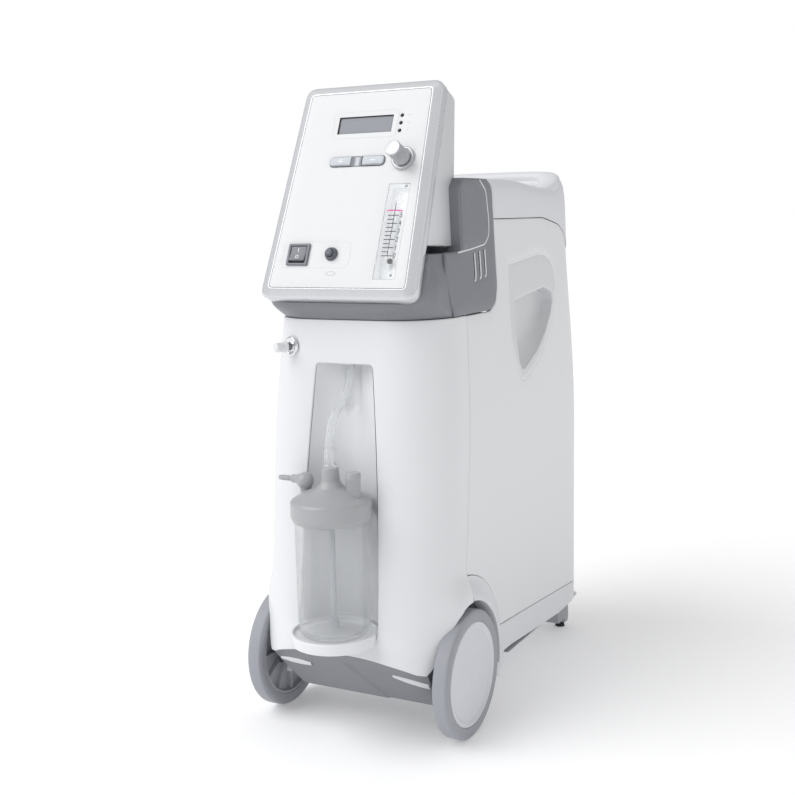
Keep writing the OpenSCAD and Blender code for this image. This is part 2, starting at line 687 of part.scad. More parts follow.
// ---- Humidifier ----------------------------------------------------------------------

module at_jar(z = 0) translate([0, jar_y, z]) children();
lid_r = lid_d / 2;
jar_r = jar_d / 2;
foot_r = jar_foot_d / 2;
ring_top = lid_z + lid_ring_h;
module humidifier_lid() color([0.68, 0.68, 0.69]) at_jar() rotate_extrude($fn = 96) polygon([
    [0, ring_top - 4], [jar_r - 4, ring_top - 4], [jar_r + slide_gap, ring_top - 6],
    [jar_r + slide_gap, lid_z - 4], [jar_r + 1.6, lid_z - 4], [lid_r - 1, lid_z],
    [lid_r, lid_z + 1], [lid_r, ring_top - 1], [lid_r - 1.5, ring_top], [28, ring_top + 9],
    [13, ring_top + 16], [9.5, ring_top + 21], [8.7, boss_z], [0, boss_z]]);
elbow_x = -31;
elbow_z = ring_top + 18;
spout_l = 32;
spout_r = 3;
module humidifier_elbow() color([0.70, 0.70, 0.71]) at_jar() {
    translate([elbow_x, 0, ring_top + 8.2]) cylinder(h = 10, r = 5.6);
    translate([elbow_x, 0, elbow_z]) sphere(r = 9.2);
    translate([elbow_x, 0, elbow_z + 1]) rotate([0, -90, 0]) cylinder(h = 16, r = 4.4);
    translate([elbow_x, 0, elbow_z + 1]) rotate([0, -90, 0]) cylinder(h = spout_l, r = spout_r);
}
relief_x = 27;
module relief_cap() color([0.66, 0.66, 0.67]) at_jar() translate([relief_x, 0, ring_top + 9.5]) {
    cylinder(h = 15, r = 7.6);
    translate([0, 0, 15]) cylinder(h = 7, r1 = 8.1, r2 = 7.8);
}
module dip_tube() color([0.86, 0.87, 0.88]) at_jar() {
    translate([0, 0, tray_z + 14]) cylinder(h = ring_top - 4 - tray_z - 14, r = 3);
    translate([0, 0, tray_z + 8]) cylinder(h = 7, r = 5.5);
}
module humidifier_jar() color([0.88, 0.90, 0.92, 0.5]) at_jar(tray_z + 0.4) rotate_extrude($fn = 96)
    polygon([[0, 1.5], [foot_r - 12, 1.5], [foot_r - 8, 0], [foot_r - 4, 1.2], [foot_r - 1.2, 4],
        [foot_r, 8], [jar_r, jar_h - 10], [jar_r, jar_h], [jar_r - jar_wall, jar_h],
        [foot_r - jar_wall, 9], [foot_r - jar_wall - 5, 4], [0, 4]]);
module jar_tray() color([0.93, 0.93, 0.94]) at_jar() difference() {
    translate([0, 0, niche_floor + slide_gap]) cylinder(h = tray_z + 3.5 - niche_floor - slide_gap,
        r1 = tray_r - 1, r2 = tray_r, $fn = 96);
    translate([0, 0, tray_z]) cylinder(h = 20, r = tray_r - 4, $fn = 96);
}

// ---- Wheels, axle and feet -----------------------------------------------------------

wheel_x = track_w / 2 - tyre_w; // inner face of the right wheel
// Local +Z points outward along the axle, from the wheel's inner face
module at_wheel(side) translate([side * wheel_x, axle_y, wheel_r]) rotate([0, side * 90, 0]) children();
rim_r = cap_d / 2 + 1.5;
module tyre() rotate_extrude($fn = 128) polygon([[rim_r, 1], [wheel_r - 4, 0], [wheel_r - 1.2, 1.2],
    [wheel_r, 4], [wheel_r, tyre_w - 4], [wheel_r - 1.2, tyre_w - 1.2], [wheel_r - 4, tyre_w],
    [rim_r, tyre_w - 0.5]]);
web_z = tyre_w - 6;
module wheel_rim() difference() {
    union() {
        rotate_extrude($fn = 96) polygon([[9, web_z], [rim_r, web_z], [rim_r, 1.5], [rim_r - 2.5, 1.5],
            [rim_r - 2.5, web_z - 2.5], [9, web_z - 2.5]]);
        cylinder(h = web_z, r = 11);
        for (i = [0 : rib_n - 1]) rotate([0, 0, 360 * i / rib_n]) translate([9, -0.9, 3])
            cube([rim_r - 10.5, 1.8, web_z - 4]);
    }
    translate([0, 0, -1]) cylinder(h = tyre_w + 2, r = axle_d / 2 + bore_gap);
}
module hubcap() translate([0, 0, web_z]) rotate_extrude($fn = 128) polygon([[0, 4.6], [0, 6], [20, 5.9],
    [cap_d / 2 - 4, 4.6], [cap_d / 2 - 1, 3.2], [cap_d / 2, 0], [cap_d / 2 - 2.5, 0],
    [cap_d / 2 - 3.5, 2.4], [20, 4.5]]);
module left_tyre() color([0.60, 0.61, 0.64]) at_wheel(-1) tyre();
module right_tyre() color([0.60, 0.61, 0.64]) at_wheel(1) tyre();
module left_wheel_rim() color([0.62, 0.63, 0.66]) at_wheel(-1) wheel_rim();
module right_wheel_rim() color([0.62, 0.63, 0.66]) at_wheel(1) wheel_rim();
module left_hubcap() color([0.78, 0.79, 0.82]) at_wheel(-1) hubcap();
module right_hubcap() color([0.78, 0.79, 0.82]) at_wheel(1) hubcap();

axle_end = wheel_x + web_z + 2.2;
module axle() color([0.75, 0.76, 0.78]) translate([0, axle_y, wheel_r]) rotate([0, 90, 0]) {
    cylinder(h = 2 * axle_end, r = axle_d / 2, center = true);
    for (s = [-1, 1]) translate([0, 0, s * (axle_end - 0.6)])
        cylinder(h = 1.2, r = axle_d / 2 + 4, center = true);
}
carrier_x = arch_x - wall - 8;
module axle_carriers() color([0.86, 0.86, 0.88]) for (s = [-1, 1])
    translate([s * (carrier_x + 3), 0, 0]) difference() {
        across([[axle_y - 26, belly_z + wall + seam], [axle_y + 26, belly_z + wall + seam],
            [axle_y + 14, wheel_r + 16], [axle_y - 14, wheel_r + 16]], 6);
        translate([0, axle_y, wheel_r]) rotate([0, 90, 0])
            cylinder(h = 20, r = axle_d / 2 + bore_gap, center = true);
    }

foot_y = back_y - 22;
module rear_feet() color([0.62, 0.63, 0.66]) for (s = [-1, 1]) translate([s * foot_gap / 2, foot_y, 0])
    difference() {
        across([[-30, belly_z - 0.2], [12, belly_z - 0.2], [14, pad_h + 6], [11, pad_h], [1, pad_h],
            [-2, pad_h + 6], [-24, pad_h + 6], [-30, belly_z - 12]], 18);
        translate([-6.5, -24, pad_h + 9]) cube([13, 34, belly_z]);
    }
module foot_pads() color([0.12, 0.12, 0.13]) for (s = [-1, 1])
    translate([s * foot_gap / 2, foot_y + 6, 0]) cylinder(h = pad_h - touch, r1 = 6.5, r2 = 5);

// ---- Inside --------------------------------------------------------------------------

chassis_z = belly_z + 16;
module chassis_plate() color([0.70, 0.71, 0.72]) difference() {
    translate([-88, axle_y + 40, chassis_z]) cube([176, back_y - axle_y - 56, 2]);
    translate([0, 120, chassis_z - 1]) cylinder(h = 4, r = 30);
}
comp_y = 125;
comp_z = chassis_z + 2 + 18;
module compressor() color([0.55, 0.56, 0.58]) translate([0, comp_y, comp_z]) {
    translate([-70, -38, 0]) cube([140, 76, 8]);
    translate([-34, 0, 44]) rotate([0, 90, 0]) cylinder(h = 68, r = 36);
    for (x = [-1, 1]) {
        translate([x * 50, 0, 44]) rotate([0, 90, 0]) cylinder(h = 32 + touch, r = 24, center = true);
        translate([x * 50 - 17, -17, 44]) cube([34, 34, 46]);
        translate([x * 50 - 20, -20, 90]) cube([40, 40, 12]);
    }
}
module compressor_mounts() color([0.15, 0.15, 0.16]) for (x = [-60, 60], y = [-28, 28])
    translate([x, comp_y + y, chassis_z + 2]) cylinder(h = 18, r1 = 9, r2 = 7);
bed_y = -48;
bed_z = chassis_z + 2;
module sieve_beds() color([0.80, 0.81, 0.82]) for (x = [-48, 48])
    translate([x, bed_y, bed_z]) {
        cylinder(h = 262, r = 38);
        translate([0, 0, 262]) cylinder(h = 8, r = 40);
    }
module valve_block() color([0.74, 0.75, 0.77]) translate([0, bed_y, bed_z + 270]) {
    translate([-62, -24, 0]) cube([124, 48, 30]);
    for (x = [-36, 0, 36]) translate([x, 0, 30]) cylinder(h = 30, r = 12);
}
module product_tank() color([0.84, 0.85, 0.86]) translate([-62, 32, bed_z]) cylinder(h = 230, r = 26);
// Mains inlet: a flanged socket with three blades standing in it
inlet_depth = 17;
module power_inlet() color([0.13, 0.13, 0.14]) translate([0, back_y - 1.5, inlet_z]) {
    difference() {
        union() {
            translate([-inlet_w / 2 - 3, 0.3, -inlet_h / 2 - 3]) cube([inlet_w + 6, 1.2, inlet_h + 6]);
            translate([-inlet_w / 2 + seam, -inlet_depth - 1, -inlet_h / 2 + seam])
                cube([inlet_w - 2 * seam, inlet_depth + 2, inlet_h - 2 * seam]);
        }
        translate([-inlet_w / 2 + 2, -inlet_depth + 1, -inlet_h / 2 + 2])
            cube([inlet_w - 4, inlet_depth + 2, inlet_h - 4]);
    }
    for (p = [[-7, -2], [0, 2], [7, -2]]) translate([p[0] - 1, -inlet_depth, p[1] - 2])
        cube([2, inlet_depth - 6, 4]);
}
fan_z = comp_z + 150;
fan_r = 56;
module fan_frame() color([0.16, 0.16, 0.17]) translate([0, comp_y, fan_z]) {
    difference() {
        translate([-60, -60, 0]) cube([120, 120, 25]);
        translate([0, 0, -1]) cylinder(h = 27, r = fan_r + 1);
    }
    for (a = [0, 90]) rotate([0, 0, a]) translate([-58, -3, 0]) cube([116, 6, 3]);
    cylinder(h = 3, r = 18);
    cylinder(h = 12, r = 4);
}
module fan_rotor() color([0.20, 0.20, 0.21]) translate([0, comp_y, fan_z + 4]) {
    difference() {
        cylinder(h = 19, r = 20);
        translate([0, 0, -1]) cylinder(h = 12, r = 4 + bore_gap);
    }
    for (i = [0 : 6]) rotate([0, 0, i * 360 / 7]) translate([19, 0, 10]) rotate([28, 0, 0])
        translate([0, -0.8, -8]) cube([fan_r - 21, 1.6, 16]);
}
module circuit_board() color([0.10, 0.35, 0.20]) {
    translate([-80, 60, 420]) cube([1.6, 110, 90]);
    for (i = [0 : 3]) translate([-78.4, 70 + 24 * i, 430]) cube([10 + 4 * (i % 2), 16, 22 + 9 * (i % 3)]);
}
module intake_filter() color([0.88, 0.88, 0.86]) translate([0, back_y - 48, filter_z - 20]) {
    rotate([-90, 0, 0]) cylinder(h = 40, r = 30);
    translate([0, 0, -6]) rotate([-90, 0, 0]) cylinder(h = 2, r = 20);
}
module filter_cover() color([0.86, 0.86, 0.88]) difference() {
    translate([-filter_w / 2, back_y - 1.2, filter_z - filter_h / 2]) cube([filter_w, 1.2, filter_h]);
    for (i = [0 : 6]) translate([-filter_w / 2 + 12, back_y - 5, filter_z - filter_h / 2 + 12 + 10 * i])
        cube([filter_w - 24, 10, 4]);
}

front_casing();
left_side_casing();
right_side_casing();
rear_panel();
top_cover();
base_pan();
front_underside();
console_cowl();
left_cowl_cover();
right_cowl_cover();
console_housing();
console_frame();
panel_plate();
display_window();
indicator_lights();
plus_key();
minus_key();
key_saddle();
knob_collar();
flow_knob();
flowmeter_block();
flow_float();
switch_bezel();
power_rocker();
breaker_body();
breaker_button();
nebuliser_plate();
nebuliser_nozzle();
nebuliser_cap();
hose_nozzle();
humidifier_hose();
hose_connector();
humidifier_lid();
humidifier_elbow();
relief_cap();
dip_tube();
humidifier_jar();
jar_tray();
axle();
axle_carriers();
left_tyre();
left_wheel_rim();
left_hubcap();
right_tyre();
right_wheel_rim();
right_hubcap();
rear_feet();
foot_pads();
chassis_plate();
compressor();
compressor_mounts();
sieve_beds();
valve_block();
product_tank();
power_inlet();
fan_frame();
fan_rotor();
circuit_board();
intake_filter();
filter_cover();
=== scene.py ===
"""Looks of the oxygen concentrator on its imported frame.

Shapes are worked out in millimetres; Surface.piece turns them into metres.
"""

import json
import math

import bmesh
import bpy
import numpy as np
from mathutils import Matrix, Vector
from mathutils.geometry import delaunay_2d_cdt


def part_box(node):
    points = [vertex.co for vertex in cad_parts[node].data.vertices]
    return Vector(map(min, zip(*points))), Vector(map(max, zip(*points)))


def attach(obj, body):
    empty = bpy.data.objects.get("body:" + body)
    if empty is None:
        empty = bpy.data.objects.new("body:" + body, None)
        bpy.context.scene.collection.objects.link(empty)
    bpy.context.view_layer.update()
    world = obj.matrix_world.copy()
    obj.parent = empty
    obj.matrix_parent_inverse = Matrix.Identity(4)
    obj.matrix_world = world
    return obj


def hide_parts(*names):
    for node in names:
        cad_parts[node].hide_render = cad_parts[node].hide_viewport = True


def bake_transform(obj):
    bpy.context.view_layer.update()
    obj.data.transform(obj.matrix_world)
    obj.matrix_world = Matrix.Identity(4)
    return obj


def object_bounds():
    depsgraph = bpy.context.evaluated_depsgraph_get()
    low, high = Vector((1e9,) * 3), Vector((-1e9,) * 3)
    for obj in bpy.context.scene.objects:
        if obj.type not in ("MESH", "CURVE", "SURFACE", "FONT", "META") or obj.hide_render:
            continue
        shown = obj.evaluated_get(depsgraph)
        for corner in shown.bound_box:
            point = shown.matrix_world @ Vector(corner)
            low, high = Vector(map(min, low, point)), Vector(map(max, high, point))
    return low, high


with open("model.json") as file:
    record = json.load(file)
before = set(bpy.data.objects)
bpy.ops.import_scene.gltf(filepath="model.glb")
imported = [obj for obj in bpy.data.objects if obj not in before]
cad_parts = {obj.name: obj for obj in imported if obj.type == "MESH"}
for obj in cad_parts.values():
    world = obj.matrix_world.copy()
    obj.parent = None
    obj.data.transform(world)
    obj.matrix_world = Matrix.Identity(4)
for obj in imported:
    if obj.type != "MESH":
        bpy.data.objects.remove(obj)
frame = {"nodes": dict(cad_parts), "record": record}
size_at_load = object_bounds()

MM = 0.001


def corners(node):
    """Lowest and highest corner of a CAD node, in millimetres."""
    low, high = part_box(node)
    return low / MM, high / MM


# ---- Places and sizes shared by several pieces, from the frame ------------------------

FRONT = size_at_load[0][1] / MM
BACK = corners("base_pan")[1].y
JAR_Y = (corners("humidifier_jar")[0].y + corners("humidifier_jar")[1].y) / 2
AXLE_Y = (corners("axle")[0].y + corners("axle")[1].y) / 2
AXLE_Z = (corners("axle")[0].z + corners("axle")[1].z) / 2
WHEEL_R = (corners("right_tyre")[1].z - corners("right_tyre")[0].z) / 2
TRACK = corners("right_tyre")[1].x
TYRE_W = TRACK - corners("right_tyre")[0].x
WAIST = 454
SEAM = 0.6
LIP = 1.6
COVER_Z = 555
PANEL_L = 243.4
PANEL_LEAN = math.radians(23.4)
PANEL_Y = FRONT + 64.7
PANEL_Z = 476.6
FACE = 4
BORDER = 11
FENDER_R = 105
ARCH_R = 79
FLARE = 10
FRONT_R = 60
REAR_R = 40
REAR_X = 75


# ---- Small helpers --------------------------------------------------------------------

def mix(a, b, t):
    return a + (b - a) * t


def ease(t):
    t = min(1, max(0, t))
    return t * t * (3 - 2 * t)


def ramp(t):
    return (1 - math.cos(math.pi * min(1, max(0, t)))) / 2


def steps(count):
    return [i / count for i in range(count + 1)]


def circle(radius, count, centre=(0, 0)):
    return [(centre[0] + radius * math.cos(2 * math.pi * i / count),
             centre[1] + radius * math.sin(2 * math.pi * i / count)) for i in range(count)]


def soften(points, radius, closed=True, count=4):
    """Rounds the corners of a 2-D outline. A point may carry its own radius as a third value."""
    result = []
    total = len(points)
    for i, corner in enumerate(points):
        here = Vector(corner[:2])
        reach = corner[2] if len(corner) > 2 else radius
        if reach <= 0 or (not closed and i in (0, total - 1)):
            result.append(tuple(here))
            continue
        before = Vector(points[i - 1][:2]) - here
        after = Vector(points[(i + 1) % total][:2]) - here
        angle = before.angle(after)
        if angle > 3.1:
            result.append(tuple(here))
            continue
        cut = min(reach / math.tan(angle / 2), before.length * 0.48, after.length * 0.48)
        start = here + before.normalized() * cut
        end = here + after.normalized() * cut
        for t in steps(count):
            p = start * (1 - t) ** 2 + here * 2 * t * (1 - t) + end * t ** 2
            result.append(tuple(p))
    return result


def pill(width, height, radius, centre=(0, 0), count=5):
    w, h = width / 2, height / 2
    outline = [(-w, -h), (w, -h), (w, h), (-w, h)]
    return [(centre[0] + u, centre[1] + v) for u, v in soften(outline, radius, count=count)]


def spaced(loop, gap):
    """The closed 2-D loop with points added so that none are further apart than gap."""
    result = []
    for i, start in enumerate(loop):
        end = loop[(i + 1) % len(loop)]
        length = math.dist(start, end)
        if length < 1e-4:
            continue
        count = max(1, math.ceil(length / gap))
        result += [(mix(start[0], end[0], k / count), mix(start[1], end[1], k / count))
                   for k in range(count)]
    return result


def area_of(loop):
    return sum(a[0] * b[1] - b[0] * a[1] for a, b in zip(loop, loop[1:] + loop[:1])) / 2


def inside(points, loop):
    """Which of the points lie inside the closed loop."""
    x, y = points[:, 0], points[:, 1]
    result = np.zeros(len(points), bool)
    for (ax, ay), (bx, by) in zip(loop, loop[1:] + loop[:1]):
        if ay == by:
            continue
        crossed = (ay > y) != (by > y)
        result ^= crossed & (x < (bx - ax) * (y - ay) / (by - ay) + ax)
    return result


def distance_to(points, loop):
    nearest = np.full(len(points), 1e9)
    for a, b in zip(loop, loop[1:] + loop[:1]):
        a, b = np.array(a), np.array(b)
        along = b - a
        t = np.clip(((points - a) @ along) / max(1e-9, along @ along), 0, 1)
        nearest = np.minimum(nearest, np.linalg.norm(points - a - t[:, None] * along, axis=1))
    return nearest


class Surface:
    """Collects points and faces in millimetres and makes one Blender object from them."""

    def __init__(self):
        self.points = []
        self.faces = []

    def add(self, points, faces):
        base = len(self.points)
        self.points += [tuple(p) for p in points]
        self.faces += [[base + i for i in face] for face in faces]

    def grid(self, rows, closed=False):
        """Joins rows of points, each as long as the next, with quads."""
        width = len(rows[0])
        last = width if closed else width - 1
        faces = []
        for j in range(len(rows) - 1):
            for i in range(last):
                k = (i + 1) % width
                faces.append([j * width + i, j * width + k, (j + 1) * width + k, (j + 1) * width + i])
        self.add([p for row in rows for p in row], faces)
        return self

    def lid(self, ring):
        """Closes a ring of points with a fan round its middle."""
        middle = tuple(sum(p[i] for p in ring) / len(ring) for i in range(3))
        count = len(ring)
        self.add(list(ring) + [middle], [[i, (i + 1) % count, count] for i in range(count)])
        return self

    def lathe(self, profile, place, count=72):
        """Turns a profile of (radius, height) round the local Z that place puts in the world."""
        rows = []
        for radius, height in profile:
            rows.append([place(radius * math.cos(2 * math.pi * i / count),
                               radius * math.sin(2 * math.pi * i / count), height)
                         for i in range(count)])
        self.grid(rows, closed=True)
        return self

    def sheet(self, place, outer, holes=(), gap=8, lip=0, depth=0, grid_gap=None):
        """A skin over the outline outer less holes, both in the surface's own coordinates.
        place(u, v) gives its points. Its edges roll inward by lip and go depth deep."""
        loops = [spaced(list(outer), gap)] + [spaced(list(h), gap) for h in holes]
        loops = [l if (area_of(l) > 0) == (i == 0) else l[::-1] for i, l in enumerate(loops)]
        fine = grid_gap or gap
        us = [p[0] for p in loops[0]]
        vs = [p[1] for p in loops[0]]
        cloud = np.array([(u, v) for u in np.arange(min(us) + fine * 0.37, max(us), fine)
                          for v in np.arange(min(vs) + fine * 0.41, max(vs), fine)]).reshape(-1, 2)
        if len(cloud):
            keep = inside(cloud, loops[0]) & (distance_to(cloud, loops[0]) > fine * 0.45 + lip)
            for hole in loops[1:]:
                keep &= ~inside(cloud, hole) & (distance_to(cloud, hole) > fine * 0.45 + lip)
            cloud = cloud[keep]
        flat = [p for loop in loops for p in loop] + [tuple(p) for p in cloud]
        edges = []
        base = 0
        for loop in loops:
            edges += [(base + i, base + (i + 1) % len(loop)) for i in range(len(loop))]
            base += len(loop)
        found = delaunay_2d_cdt([Vector(p) for p in flat], edges, [], 0, 1e-6)
        out, triangles, origin = found[0], found[2], found[3]
        index = {i: k for k, group in enumerate(origin) for i in group}
        middles = np.array([[sum(out[i].x for i in t) / 3, sum(out[i].y for i in t) / 3]
                            for t in triangles])
        keep = inside(middles, loops[0])
        for hole in loops[1:]:
            keep &= ~inside(middles, hole)
        points = [Vector(place(p.x, p.y)) for p in out]
        rims = []
        base = 0
        for loop in loops:
            rims.append(self._rim(place, loop, lip, depth))
            for i, first in enumerate(rims[-1][0]):
                points[index[base + i]] = first
            base += len(loop)
        self.add(points, [list(t) for t, k in zip(triangles, keep) if k])
        for rows in rims:
            if len(rows) > 1:
                self.grid(rows, closed=True)
        return self

    @staticmethod
    def _rim(place, loop, lip, depth):
        """Rows of points from the edge of the skin, rolled inward and then straight in."""
        count = len(loop)
        rows = [[] for _ in range((5 if lip else 1) + (1 if depth else 0))]
        h = 0.05
        for i, here in enumerate(loop):
            before, after = loop[i - 1], loop[(i + 1) % count]
            a = Vector((here[1] - before[1], before[0] - here[0])).normalized()
            b = Vector((after[1] - here[1], here[0] - after[0])).normalized()
            out = (a + b).normalized() if (a + b).length > 1e-6 else a
            reach = min(1.6, 1 / max(0.5, out.dot(a)))
            p = Vector(place(*here))
            pu = (Vector(place(here[0] + h, here[1])) - p) / h
            pv = (Vector(place(here[0], here[1] + h)) - p) / h
            normal = pu.cross(pv).normalized()
            side = (pu * out.x + pv * out.y).normalized()
            edge = p
            level = 0
            if lip:
                for t in steps(4):
                    angle = t * math.pi / 2
                    rows[level].append(p - side * lip * reach * (1 - math.sin(angle))
                                       - normal * lip * (1 - math.cos(angle)))
                    level += 1
                edge = rows[level - 1][-1]
            else:
                rows[0].append(p)
                level = 1
            if depth:
                rows[level].append(edge - normal * depth)
        return rows

    def mirrored(self):
        """A copy on the other side of the middle plane."""
        twin = Surface()
        twin.points = [(-x, y, z) for x, y, z in self.points]
        twin.faces = [f[::-1] for f in self.faces]
        return twin

    def join(self, other):
        self.add(other.points, other.faces)
        return self

    def piece(self, name, material, body="casing", slot=None, stands_for=(), sharp=32, merge=0.02):
        mesh = bpy.data.meshes.new(name)
        mesh.from_pydata([(x * MM, y * MM, z * MM) for x, y, z in self.points], [], self.faces)
        shape = bmesh.new()
        shape.from_mesh(mesh)
        bmesh.ops.remove_doubles(shape, verts=shape.verts, dist=merge * MM)
        bmesh.ops.recalc_face_normals(shape, faces=shape.faces)
        shape.to_mesh(mesh)
        shape.free()
        mesh.validate()
        mesh.shade_smooth()
        mesh.set_sharp_from_angle(angle=math.radians(sharp))
        mesh.materials.append(material)
        made = bpy.data.objects.new(name, mesh)
        bpy.context.scene.collection.objects.link(made)
        if body:
            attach(made, body)
        if stands_for:
            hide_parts(*stands_for)
        return made


# ---- Materials ------------------------------------------------------------------------

def finish(name, colour, rough=0.4, metal=0.0, grain=900, bump=0.02, mottle=0.03, wear=0.08,
           coat=0.0, glass=0.0, ior=1.46, flecks=0.0, edge=0.0, sheen=0.0, solid=1.0, glow=0.0):
    """A node material: mottled colour, uneven roughness and a fine moulded or cast grain."""
    material = bpy.data.materials.new(name)
    material.use_nodes = True
    nodes, links = material.node_tree.nodes, material.node_tree.links
    shader = nodes["Principled BSDF"]
    place = nodes.new("ShaderNodeTexCoord")

    broad = nodes.new("ShaderNodeTexNoise")
    broad.inputs["Scale"].default_value = 14
    broad.inputs["Detail"].default_value = 3
    links.new(place.outputs["Object"], broad.inputs["Vector"])
    tint = nodes.new("ShaderNodeMix")
    tint.data_type = "RGBA"
    tint.inputs["A"].default_value = (*[c * (1 - mottle) for c in colour], 1)
    tint.inputs["B"].default_value = (*[min(1, c * (1 + mottle)) for c in colour], 1)
    links.new(broad.outputs["Fac"], tint.inputs["Factor"])

    fine = nodes.new("ShaderNodeTexNoise")
    fine.inputs["Scale"].default_value = grain
    fine.inputs["Detail"].default_value = 2
    links.new(place.outputs["Object"], fine.inputs["Vector"])
    colour_out = tint.outputs["Result"]
    if flecks:
        spots = nodes.new("ShaderNodeMapRange")
        spots.inputs["From Min"].default_value = 0.52
        spots.inputs["From Max"].default_value = 0.70
        spots.inputs["To Max"].default_value = flecks
        links.new(fine.outputs["Fac"], spots.inputs["Value"])
        fleck = nodes.new("ShaderNodeMix")
        fleck.data_type = "RGBA"
        fleck.inputs["B"].default_value = (*[min(1, c * 1.9 + 0.08) for c in colour], 1)
        links.new(spots.outputs["Result"], fleck.inputs["Factor"])
        links.new(colour_out, fleck.inputs["A"])
        colour_out = fleck.outputs["Result"]
    links.new(colour_out, shader.inputs["Base Color"])

    uneven = nodes.new("ShaderNodeMapRange")
    uneven.inputs["To Min"].default_value = max(0.02, rough * (1 - wear * 2))
    uneven.inputs["To Max"].default_value = min(1, rough * (1 + wear * 2))
    links.new(broad.outputs["Fac"], uneven.inputs["Value"])
    links.new(uneven.outputs["Result"], shader.inputs["Roughness"])

    relief = nodes.new("ShaderNodeBump")
    relief.inputs["Strength"].default_value = bump
    relief.inputs["Distance"].default_value = 0.0004
    links.new(fine.outputs["Fac"], relief.inputs["Height"])
    if edge:
        rounding = nodes.new("ShaderNodeBevel")
        rounding.samples = 4
        rounding.inputs["Radius"].default_value = edge * MM
        links.new(rounding.outputs["Normal"], relief.inputs["Normal"])
    links.new(relief.outputs["Normal"], shader.inputs["Normal"])

    shader.inputs["Metallic"].default_value = metal
    shader.inputs["Coat Weight"].default_value = coat
    shader.inputs["Coat Roughness"].default_value = 0.12
    shader.inputs["Sheen Weight"].default_value = sheen
    shader.inputs["Transmission Weight"].default_value = glass
    shader.inputs["IOR"].default_value = ior
    shader.inputs["Alpha"].default_value = solid
    if glow:
        shader.inputs["Emission Color"].default_value = (*colour, 1)
        shader.inputs["Emission Strength"].default_value = glow
    return material


WHITE = finish("casing_white", (0.765, 0.775, 0.795), 0.36, grain=1400, bump=0.035, mottle=0.012, coat=0.08)
COVER_GREY = finish("cover_white", (0.725, 0.735, 0.76), 0.38, grain=1400, bump=0.04, mottle=0.015)
INLAY = finish("grip_white", (0.70, 0.705, 0.72), 0.42, grain=1200, bump=0.06, mottle=0.015)
TRAY = finish("tray_white", (0.78, 0.79, 0.81), 0.30, grain=1400, bump=0.03, mottle=0.01)
COWL = finish("cowl_metallic", (0.205, 0.212, 0.235), 0.42, 0.25, grain=2600, bump=0.10, mottle=0.03,
              flecks=0.5)
# Painted highlight: a pale colour for the catch-light along the cowl cover tile's edge.
COWL_HIGHLIGHT = finish("cowl_painted_highlight", (0.80, 0.81, 0.83), 0.25, 0.1, grain=1500, mottle=0.02)
SLOT_WHITE = finish("slot_rim", (0.86, 0.87, 0.88), 0.3, grain=1200, mottle=0.01)
HOUSING = finish("housing_silver", (0.66, 0.67, 0.69), 0.34, 0.15, grain=2200, bump=0.04, mottle=0.02,
                 flecks=0.15)
SILVER = finish("frame_silver", (0.66, 0.675, 0.70), 0.27, 0.45, grain=2600, bump=0.03, mottle=0.015,
                flecks=0.2)
PLATE = finish("panel_white", (0.72, 0.728, 0.74), 0.33, grain=1800, bump=0.02, mottle=0.008, coat=0.1)
# Painted light: the flowmeter's white liner glows a little, so the cavity behind the clear block looks lit.
METER_LINER_GLOW = finish("meter_liner_painted_glow", (0.80, 0.81, 0.82), 0.4, grain=900, bump=0.02, mottle=0.02, glow=0.22)
PRINT = finish("print_grey", (0.50, 0.52, 0.55), 0.5, grain=1500, mottle=0.05)
PRINT_PALE = finish("print_pale", (0.68, 0.69, 0.71), 0.5, grain=1500, mottle=0.03)
BLACK_MARK = finish("print_black", (0.05, 0.05, 0.06), 0.5, grain=1500, mottle=0.1)
MAGENTA = finish("print_magenta", (0.68, 0.05, 0.33), 0.45, grain=1500, mottle=0.05)
# Painted shade: a near-black material for sheets set where a gap, a slot or a wheel well lies in shade.
PAINTED_SHADE = finish("seam_shadow", (0.10, 0.10, 0.115), 0.8, grain=700, mottle=0.1)
DISPLAY = finish("display_grey", (0.175, 0.19, 0.225), 0.22, grain=1800, bump=0.01, mottle=0.06, coat=0.3)
LIGHT_BLACK = finish("light_black", (0.015, 0.015, 0.018), 0.18, grain=900, mottle=0.2)
KEY = finish("key_silver", (0.33, 0.345, 0.375), 0.30, 0.35, grain=2400, bump=0.03, mottle=0.02, flecks=0.2)
KNOB = finish("knob_silver", (0.47, 0.48, 0.50), 0.28, 0.4, grain=2400, bump=0.03, mottle=0.02, flecks=0.15)
METER_TUBE = finish("meter_tube", (0.92, 0.94, 0.95), 0.08, glass=0.6, ior=1.15, grain=300, bump=0.01,
                    mottle=0.01,
                    solid=0.2)
CLEAR = finish("meter_clear", (0.90, 0.92, 0.94), 0.05, glass=0.7, ior=1.10, grain=300, bump=0.01,
               mottle=0.01,
               solid=0.16)
CLEAR_JAR = finish("jar_clear", (0.93, 0.945, 0.96), 0.05, glass=0.75, ior=1.16, grain=120, bump=0.02,
                   mottle=0.01,
                   solid=0.34)
CLEAR_HOSE = finish("hose_clear", (0.92, 0.935, 0.945), 0.12, glass=0.70, ior=1.25, grain=500, bump=0.03,
                    mottle=0.02,
                    solid=0.55)
SWITCH = finish("switch_grey", (0.20, 0.208, 0.235), 0.38, grain=1800, bump=0.04, mottle=0.04)
SWITCH_DARK = finish("breaker_grey", (0.115, 0.122, 0.145), 0.40, grain=1800, bump=0.04, mottle=0.05)
MARK_WHITE = finish("mark_white", (0.90, 0.90, 0.90), 0.4, grain=1500, mottle=0.01)
CHROME = finish("bright_metal", (0.80, 0.81, 0.83), 0.13, 1.0, grain=700, bump=0.015, mottle=0.03)
DARK_METAL = finish("dark_metal", (0.20, 0.205, 0.22), 0.28, 0.9, grain=900, bump=0.02, mottle=0.06)
CAP = finish("cap_pale", (0.77, 0.78, 0.80), 0.42, grain=900, bump=0.03, mottle=0.03, sheen=0.1)
LID = finish("lid_grey", (0.40, 0.405, 0.42), 0.30, grain=1600, bump=0.06, mottle=0.03)
TUBE = finish("tube_pale", (0.60, 0.63, 0.66), 0.25, glass=0.4, grain=600, mottle=0.03)
